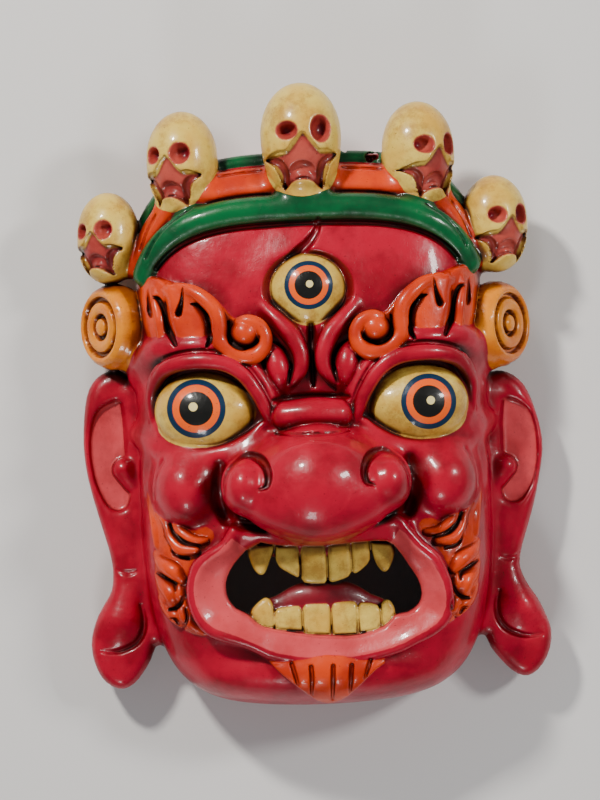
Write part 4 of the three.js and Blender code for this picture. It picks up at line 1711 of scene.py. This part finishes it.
class Tree:
    """Small helper that builds a shader's nodes."""

    def __init__(self, tree: bpy.types.NodeTree) -> None:
        """Empties a node tree to build in.

        Args:
            tree: The node tree.
        """
        self.tree = tree
        self.nodes = tree.nodes
        self.nodes.clear()

    def node(self, kind: str, inputs: dict | None = None, **settings: object) -> bpy.types.Node:
        """Makes a node.

        Args:
            kind: The node's type name.
            inputs: Values or sockets to link, by input name or index.
            settings: Properties of the node.

        Returns:
            The node.
        """
        made = self.nodes.new(kind)
        for key, value in settings.items():
            setattr(made, key, value)
        for key, value in (inputs or {}).items():
            self.feed(made.inputs[key], value)
        return made

    def feed(self, socket: bpy.types.NodeSocket, value: object) -> None:
        """Links a socket to the input, or sets the input's value."""
        if isinstance(value, bpy.types.NodeSocket):
            self.tree.links.new(value, socket)
        elif isinstance(value, tuple) and len(value) == 3 and socket.type == "RGBA":
            socket.default_value = (*value, 1.0)
        else:
            socket.default_value = value

    def attribute(self, name: str) -> bpy.types.NodeSocket:
        """One of the surface's fields."""
        return self.node("ShaderNodeAttribute", attribute_name=name).outputs["Fac"]

    def math(self, operation: str, a: object, b: object = 0.0, clamp: bool = False) -> bpy.types.NodeSocket:
        """A sum of two numbers or sockets."""
        return self.node("ShaderNodeMath", {0: a, 1: b}, operation=operation, use_clamp=clamp).outputs[0]

    def step(self, value: object, low: float, high: float) -> bpy.types.NodeSocket:
        """0 below the low value and 1 above the high one, smooth between."""
        inputs = {"Value": value, "From Min": low, "From Max": high}
        return self.node("ShaderNodeMapRange", inputs, interpolation_type="SMOOTHSTEP").outputs["Result"]

    def worn(self, value: object, name: str) -> bpy.types.NodeSocket:
        """Where one kind of wear shows, from 0 to 1."""
        return self.step(value, WEAR_AND_SHADE[name].low, WEAR_AND_SHADE[name].high)

    def noise(self, where: object, name: str) -> bpy.types.NodeSocket:
        """The cloudy noise of that name, from 0 to 1.

        Args:
            where: The place that it is read at.
            name: Which of the clouds.

        Returns:
            The noise.
        """
        cloud = CLOUDS[name]
        inputs = {
            "Vector": where,
            "Scale": cloud.scale,
            "Detail": cloud.detail,
            "Roughness": cloud.roughness,
        }
        return self.node("ShaderNodeTexNoise", inputs).outputs["Fac"]

    def mix(self, factor: object, a: object, b: object, blend: str = "MIX") -> bpy.types.NodeSocket:
        """One colour laid over another.

        Args:
            factor: How much of the second.
            a: The first colour.
            b: The second colour.
            blend: How they are laid.

        Returns:
            The colour.
        """
        made = self.node("ShaderNodeMix", data_type="RGBA", blend_type=blend)
        self.feed(made.inputs["Factor"], factor)
        self.feed(made.inputs[6], a)
        self.feed(made.inputs[7], b)
        return made.outputs[2]

    def blend(self, factor: object, a: object, b: object) -> bpy.types.NodeSocket:
        """One number laid over another.

        Args:
            factor: How much of the second.
            a: The first number.
            b: The second number.

        Returns:
            The number.
        """
        made = self.node("ShaderNodeMix", data_type="FLOAT")
        self.feed(made.inputs["Factor"], factor)
        self.feed(made.inputs[2], a)
        self.feed(made.inputs[3], b)
        return made.outputs[0]


class PaintShop:
    """Builds the mask's painted wood: lacquered colours, drifting in tone, dirtied, and darkened in the
    cuts and hollows by painted shade.
    """

    def build(self) -> bpy.types.Material:
        """Makes the material.

        Returns:
            The material, which reads object coordinates and the surface's own fields.
        """
        material = bpy.data.materials.new("painted_wood")
        material.use_nodes = True
        t = Tree(material.node_tree)
        place = t.node("ShaderNodeTexCoord").outputs["Object"]
        patches = t.step(t.noise(place, "drift"), 0.38, 0.68)
        wobble = t.math("MULTIPLY", t.math("SUBTRACT", t.noise(place, "wobble"), 0.5), 0.9)
        red = FINISHES["red"]
        colour = t.mix(patches, red.colour, red.drift)
        rough: object = red.roughness
        coat: object = red.coat
        for name, finish in list(FINISHES.items())[1:]:
            edge = t.math("ADD", t.attribute(name), wobble)
            inside = t.step(edge, -finish.soft, finish.soft)
            colour = t.mix(inside, colour, t.mix(patches, finish.colour, finish.drift))
            rough = t.blend(inside, rough, finish.roughness)
            coat = t.blend(inside, coat, finish.coat)
            if name == "ivory":
                stain = t.worn(t.noise(place, "stain"), "stain")
                share = t.math("MULTIPLY", t.math("MULTIPLY", stain, inside), WEAR_AND_SHADE["stain"].strength)
                colour = t.mix(share, colour, WEAR_AND_SHADE["stain"].tone)
                colour = self._irises(t, place, colour, inside)
        colour, rough = self._age(t, place, colour, rough)
        shader = t.node(
            "ShaderNodeBsdfPrincipled",
            {"Base Color": colour, "Roughness": rough, "Coat Weight": coat, "Coat Roughness": 0.09,
             "Specular IOR Level": 0.22, "Normal": self._bump(t, place)},
        )
        t.node("ShaderNodeOutputMaterial", {"Surface": shader.outputs[0]})
        return material

    @staticmethod
    def _apart(t: Tree, flat: object, spot: tuple[float, float], radius: float) -> bpy.types.NodeSocket:
        """How far from a painted spot the surface is.

        Args:
            t: The shader's tree.
            flat: The surface's place seen from the front.
            spot: The spot, in millimetres.
            radius: What the distance is divided by, in millimetres.

        Returns:
            The distance in radii.
        """
        centre = t.node("ShaderNodeCombineXYZ", {"X": spot[0] * MM, "Y": spot[1] * MM}).outputs[0]
        gap = t.node("ShaderNodeVectorMath", {0: flat, 1: centre}, operation="DISTANCE")
        return t.math("DIVIDE", gap.outputs["Value"], radius * MM)

    def _irises(self, t: Tree, place: object, colour: object, on: object) -> object:
        """Paints the rings of each eye and a painted highlight on its pupil.

        Args:
            t: The shader's tree.
            place: Object coordinates.
            colour: The colour so far.
            on: Where the ivory paint lies.

        Returns:
            The colour with the irises on it.
        """
        flat = t.node("ShaderNodeVectorMath", {0: place, 1: (1, 1, 0)}, operation="MULTIPLY").outputs[0]
        for iris in IRISES:
            ring = self._apart(t, flat, iris.centre, iris.radius)
            for reach, tone in RINGS:
                inside = t.math("MULTIPLY", t.step(ring, reach + 0.012, reach - 0.012), on)
                colour = t.mix(inside, colour, tone)
            # A painted highlight: a small pale spot on each pupil.
            spot = self._apart(t, flat, iris.dot, iris.radius)
            colour = t.mix(t.math("MULTIPLY", t.step(spot, 0.16, 0.14), on), colour, PUPIL_GLINT)
        return colour

    @staticmethod
    def _age(t: Tree, place: object, colour: object, rough: object) -> tuple[object, object]:
        """Lays dirt and specks on the paint, paints shade into its cuts and hollows, and dulls it.

        Args:
            t: The shader's tree.
            place: Object coordinates.
            colour: The colour so far.
            rough: The roughness so far.

        Returns:
            The colour with its dirt and painted shade, and the roughness.
        """
        # Painted shade: how enclosed each point is by the carving, from the cavity fields, with a random
        # cloud of grime mixed in.
        grime = t.noise(place, "grime")
        fine = t.math("MULTIPLY", t.attribute("fine_cavity"), 0.55)
        broad = t.math("MULTIPLY", t.attribute("broad_cavity"), 0.75)
        shade_and_grime = t.math("ADD", fine, broad)
        shade_and_grime = t.math("ADD", shade_and_grime, t.math("MULTIPLY", t.math("SUBTRACT", grime, 0.5), 0.45))
        smear = t.worn(t.noise(place, "smear"), "smear")
        smeared = t.mix(1.0, colour, WEAR_AND_SHADE["smear"].tone, "MULTIPLY")
        colour = t.mix(t.math("MULTIPLY", smear, WEAR_AND_SHADE["smear"].strength), colour, smeared)
        # Colour of the painted shade in the cuts, laid on below where the shade and grime field is high.
        cut = t.mix(1.0, colour, WEAR_AND_SHADE["cuts"].tone, "MULTIPLY")
        # Painted shade in the broad hollows, left off the ivory and pink paints.
        wide = t.worn(t.attribute("wide_cavity"), "hollows")
        for light in ("ivory", "pink"):
            wide = t.math("MULTIPLY", wide, t.step(t.attribute(light), 2.2, -0.4))
        shaded = t.mix(1.0, colour, WEAR_AND_SHADE["hollows"].tone, "MULTIPLY")
        colour = t.mix(t.math("MULTIPLY", wide, WEAR_AND_SHADE["hollows"].strength), colour, shaded)
        colour = t.mix(t.worn(shade_and_grime, "cuts"), colour, cut)
        # Near-black painted shade in the deepest creases, which also makes them rougher.
        deep = t.worn(shade_and_grime, "deep_shade")
        colour = t.mix(t.math("MULTIPLY", deep, WEAR_AND_SHADE["deep_shade"].strength), colour, WEAR_AND_SHADE["deep_shade"].tone)
        specks = t.worn(t.noise(place, "specks"), "specks")
        colour = t.mix(t.math("MULTIPLY", specks, WEAR_AND_SHADE["specks"].strength), colour, WEAR_AND_SHADE["specks"].tone)
        rough = t.math("ADD", rough, t.math("MULTIPLY", t.math("SUBTRACT", grime, 0.5), 0.3))
        rough = t.math("ADD", rough, t.math("MULTIPLY", deep, 0.3), clamp=True)
        return colour, rough

    @staticmethod
    def _bump(t: Tree, place: object) -> bpy.types.NodeSocket:
        """Waves, dents, brush hairs and pits of the paint.

        Args:
            t: The shader's tree.
            place: Object coordinates.

        Returns:
            The bumped normal.
        """
        strokes = t.node("ShaderNodeMapping", {"Vector": place, "Scale": (1.0, 0.22, 1.0)}).outputs[0]
        height = t.math("MULTIPLY", t.noise(place, "waves"), RELIEF["waves"])
        for where, name in ((strokes, "hairs"), (place, "dents")):
            height = t.math("ADD", height, t.math("MULTIPLY", t.noise(where, name), RELIEF[name]))
        pits = t.step(t.noise(place, "pits"), 0.62, 0.72)
        height = t.math("SUBTRACT", height, t.math("MULTIPLY", pits, RELIEF["pits"]))
        return t.node("ShaderNodeBump", {"Height": height, "Strength": 0.5, "Distance": 0.0012}).outputs[0]


# The paint fields stop at this distance from an edge, and the gouge marks fade in over the other
FIELD_LIMIT = 6
GOUGE_FADE = 2

# How far out each field of cavities looks, from the narrow cuts to the broad hollows; the paint lays
# painted shade by them
CAVITIES = {"fine_cavity": 1.3, "broad_cavity": 5.0, "wide_cavity": 13.0}


@dataclass(frozen=True)
class Fields:
    """Writes onto the surface the fields that the paint reads."""

    carving: Carving

    def write(self, mesh: bpy.types.Mesh) -> None:
        """Works the fields out at every vertex.

        Args:
            mesh: The finished surface, in metres.
        """
        p = np.zeros(len(mesh.vertices) * 3)
        mesh.vertices.foreach_get("co", p)
        p = p.reshape(-1, 3) / MM
        for name, inside in self.carving.paints(p).items():
            if name != "red":
                self._store(mesh, name, np.clip(inside, -FIELD_LIMIT, FIELD_LIMIT))
        bare = self._bare(p)
        self._store(mesh, "bare", bare)
        self._store(mesh, "gouged", np.clip(np.minimum(bare, p[:, 2] - 4), 0, GOUGE_FADE))
        normal = np.zeros(len(mesh.vertices) * 3)
        mesh.vertices.foreach_get("normal", normal)
        normal = normal.reshape(-1, 3)
        # How enclosed each point is, which the paint turns into painted shade in the cuts and hollows
        for name, reach in CAVITIES.items():
            out = self.carving.distance(p + normal * reach, reach + 1)
            self._store(mesh, name, np.clip(1 - out / reach, 0, 1))

    @staticmethod
    def _store(mesh: bpy.types.Mesh, name: str, values: Array) -> None:
        """Keeps one field on the surface."""
        made = mesh.attributes.new(name, "FLOAT", "POINT")
        made.data.foreach_set("value", values.astype(np.float32))

    @staticmethod
    def _bare(p: Array) -> Array:
        """How far inside the unpainted wood points lie."""
        room = np.minimum(FACE_ROOM.distance(p), NOSE_ROOM.distance(p))
        return np.clip(np.maximum(2.5 - room, 1.2 - p[:, 2]), -FIELD_LIMIT, FIELD_LIMIT)


# Tool marks


@dataclass(frozen=True)
class ToolMarks:
    """Gouge marks left inside the hollow: shallow scoops pressed into the surface along its normals.

    Attributes:
        depth: How far the marks move the surface outwards, in metres; below 0 is into the wood.
        spacing: Scoops per metre.
        seed: Fixes where they fall.
    """

    depth: float = -0.0011
    spacing: float = 70.0
    seed: float = 7.0

    def tree(self) -> bpy.types.NodeTree:
        """Builds the nodes.

        Returns:
            The node tree, with Geometry, Depth, Spacing, Seed and Paint as inputs.
        """
        tree = bpy.data.node_groups.new("tool_marks", "GeometryNodeTree")
        face = tree.interface
        face.new_socket("Geometry", in_out="INPUT", socket_type="NodeSocketGeometry")
        for name in ("Depth", "Spacing", "Seed"):
            face.new_socket(name, in_out="INPUT", socket_type="NodeSocketFloat")
        face.new_socket("Paint", in_out="INPUT", socket_type="NodeSocketMaterial")
        face.new_socket("Geometry", in_out="OUTPUT", socket_type="NodeSocketGeometry")
        n, link = tree.nodes, tree.links.new
        start, end = n.new("NodeGroupInput"), n.new("NodeGroupOutput")
        cells = n.new("ShaderNodeTexVoronoi")
        cells.voronoi_dimensions = "4D"
        cells.feature = "SMOOTH_F1"
        link(n.new("GeometryNodeInputPosition").outputs[0], cells.inputs["Vector"])
        link(start.outputs["Spacing"], cells.inputs["Scale"])
        link(start.outputs["Seed"], cells.inputs["W"])
        bare = n.new("GeometryNodeInputNamedAttribute")
        bare.data_type = "FLOAT"
        bare.inputs["Name"].default_value = "gouged"
        inside = n.new("ShaderNodeMapRange")
        inside.inputs["From Min"].default_value = 0.0
        inside.inputs["From Max"].default_value = float(GOUGE_FADE)
        link(bare.outputs["Attribute"], inside.inputs["Value"])
        rise = self._times(tree, cells.outputs["Distance"], inside.outputs["Result"])
        rise = self._times(tree, rise, start.outputs["Depth"])
        push = n.new("ShaderNodeVectorMath")
        push.operation = "SCALE"
        link(n.new("GeometryNodeInputNormal").outputs[0], push.inputs[0])
        link(rise, push.inputs["Scale"])
        move = n.new("GeometryNodeSetPosition")
        link(start.outputs["Geometry"], move.inputs["Geometry"])
        link(push.outputs[0], move.inputs["Offset"])
        real = n.new("GeometryNodeRealizeInstances")
        paint = n.new("GeometryNodeSetMaterial")
        link(move.outputs[0], real.inputs[0])
        link(real.outputs[0], paint.inputs["Geometry"])
        link(start.outputs["Paint"], paint.inputs["Material"])
        link(paint.outputs[0], end.inputs[0])
        return tree

    @staticmethod
    def _times(
        tree: bpy.types.NodeTree, a: bpy.types.NodeSocket, b: bpy.types.NodeSocket
    ) -> bpy.types.NodeSocket:
        """One socket times another.

        Args:
            tree: The node tree.
            a: The first socket.
            b: The second socket.

        Returns:
            The product.
        """
        made = tree.nodes.new("ShaderNodeMath")
        made.operation = "MULTIPLY"
        tree.links.new(a, made.inputs[0])
        tree.links.new(b, made.inputs[1])
        return made.outputs[0]

    def press(self, piece: bpy.types.Object, paint: bpy.types.Material) -> None:
        """Applies the marks and the paint to a piece and keeps the result as plain mesh.

        Args:
            piece: The piece.
            paint: Its material.
        """
        modifier = piece.modifiers.new("tool_marks", "NODES")
        modifier.node_group = self.tree()
        values = {"Depth": self.depth, "Spacing": self.spacing, "Seed": self.seed, "Paint": paint}
        for item in modifier.node_group.interface.items_tree:
            if item.in_out == "INPUT" and item.name in values:
                modifier[item.identifier] = values[item.name]
        settle(piece)


def settle(piece: bpy.types.Object) -> None:
    """Turns a piece with modifiers into plain mesh.

    Args:
        piece: The piece.
    """
    seen = piece.evaluated_get(bpy.context.evaluated_depsgraph_get())
    mesh = bpy.data.meshes.new_from_object(seen)
    piece.modifiers.clear()
    piece.data = mesh


# The mask


@dataclass
class Mask:
    """The whole mask: carved, surfaced, thinned, painted and put in the frame."""

    most_triangles: int = 192000
    pitch: float = FINE_PITCH
    carving: Carving = field(default_factory=Carving)

    def parts(self) -> list[Part]:
        """The parts in the order in which they are carved."""
        head = [HeadBlock(), Headband(), Crown(), EarSpools(), Ear(-1), Ear(1)]
        eyes = [Eye(-1), Eye(1, (-55.5, -7.2)), ThirdEye()]
        middle = [Frown(-1), Frown(1), Brow(-1), Brow(1, 0.8), Nose(), Cheek(-1), Cheek(1)]
        below = [Mouth(), Teeth(), Beard(), Hollow()]
        return head + eyes + middle + below

    def build(self) -> bpy.types.Object:
        """Carves and paints the mask.

        Returns:
            The finished piece, standing for the solid.
        """
        for part in self.parts():
            part.carve(self.carving)
            log.info("carved %s: %d steps in all", part.name, len(self.carving.steps))
        vertices, faces = Surfacer(pitch=self.pitch).mesh(self.carving)
        log.info("surface: %d vertices, %d faces", len(vertices), len(faces))
        mesh = bpy.data.meshes.new("carved_mask_relief")
        mesh.from_pydata((vertices * MM).tolist(), [], faces.tolist())
        mesh.update()
        piece = bpy.data.objects.new("carved_mask_relief", mesh)
        bpy.context.scene.collection.objects.link(piece)
        thin = piece.modifiers.new("thin", "DECIMATE")
        thin.ratio = min(1.0, self.most_triangles / (2 * len(faces)))
        settle(piece)
        Fields(self.carving).write(piece.data)
        ToolMarks().press(piece, PaintShop().build())
        for polygon in piece.data.polygons:
            polygon.use_smooth = True
        log.info("painted: %d triangles", len(piece.data.polygons))
        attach(piece, "root")
        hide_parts(NODE)
        return piece


# The studio


@dataclass(frozen=True)
class Lamp:
    """A square soft light that faces the mask."""

    name: str
    place: tuple[float, float, float]
    size: float
    power: float
    tint: Colour = (1.0, 1.0, 1.0)


@dataclass(frozen=True)
class Studio:
    """The plain floor, the soft light and the camera that looks straight down on the mask."""

    roll: float = -2.3
    distance: float = 2.0
    lens: float = 170.0
    aim: tuple[float, float] = (-0.0063, -0.0034)
    mid_height: float = 0.06
    floor_half: float = 3.0
    floor_tone: Colour = (0.62, 0.61, 0.60)
    room_tone: Colour = (0.9, 0.92, 1.0)
    room_light: float = 0.2
    lamps: tuple[Lamp, ...] = (
        Lamp("key", (-0.75, 1.05, 1.15), 0.16, 38.0, (1.0, 0.96, 0.9)),
        Lamp("fill", (1.15, 0.45, 1.1), 0.22, 17.0, (1.0, 0.98, 0.95)),
        Lamp("low", (-0.25, -1.25, 0.9), 0.3, 8.0),
    )

    def build(self) -> None:
        """Sets up floor, lamps, surroundings and camera."""
        self._floor()
        for lamp in self.lamps:
            self._lamp(lamp)
        world = bpy.data.worlds.new("soft_room")
        world.use_nodes = True
        room = world.node_tree.nodes["Background"]
        room.inputs["Color"].default_value = (*self.room_tone, 1)
        room.inputs["Strength"].default_value = self.room_light
        bpy.context.scene.world = world
        self._camera()

    def _floor(self) -> None:
        """Lays the plain floor."""
        mesh = bpy.data.meshes.new("floor")
        s = self.floor_half
        mesh.from_pydata([(-s, -s, 0), (s, -s, 0), (s, s, 0), (-s, s, 0)], [], [(0, 1, 2, 3)])
        floor = bpy.data.objects.new("floor", mesh)
        material = bpy.data.materials.new("plain_floor")
        material.use_nodes = True
        shader = material.node_tree.nodes["Principled BSDF"]
        shader.inputs["Base Color"].default_value = (*self.floor_tone, 1)
        shader.inputs["Roughness"].default_value = 0.8
        mesh.materials.append(material)
        bpy.context.scene.collection.objects.link(floor)

    @staticmethod
    def _lamp(lamp: Lamp) -> None:
        """Hangs one lamp, facing the mask.

        Args:
            lamp: The lamp.
        """
        light = bpy.data.lights.new(lamp.name, "AREA")
        light.size = lamp.size
        light.energy = lamp.power
        light.color = lamp.tint
        made = bpy.data.objects.new(lamp.name, light)
        made.location = lamp.place
        made.rotation_mode = "QUATERNION"
        made.rotation_quaternion = (-Vector(lamp.place)).to_track_quat("-Z", "Y")
        bpy.context.scene.collection.objects.link(made)

    def _camera(self) -> None:
        """Sets the camera straight above the mask."""
        camera = bpy.data.cameras.new("camera")
        camera.lens = self.lens
        camera.sensor_width = 36.0
        camera.dof.use_dof = False
        made = bpy.data.objects.new("camera", camera)
        turn = Matrix.Rotation(math.radians(self.roll), 4, "Z")
        spot = turn @ Vector((*self.aim, self.distance + self.mid_height))
        made.matrix_world = Matrix.Translation(spot) @ turn
        bpy.context.scene.collection.objects.link(made)
        bpy.context.scene.camera = made


def main() -> None:
    """Builds the mask and the studio and reports each piece."""
    logging.basicConfig(level=logging.INFO, format="%(message)s")
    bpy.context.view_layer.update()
    mask = Mask(pitch=FINE_PITCH)
    piece = mask.build()
    log.info("piece %s stands for %s", piece.name, NODE)
    Studio().build()


if __name__ == "__main__":
    main()
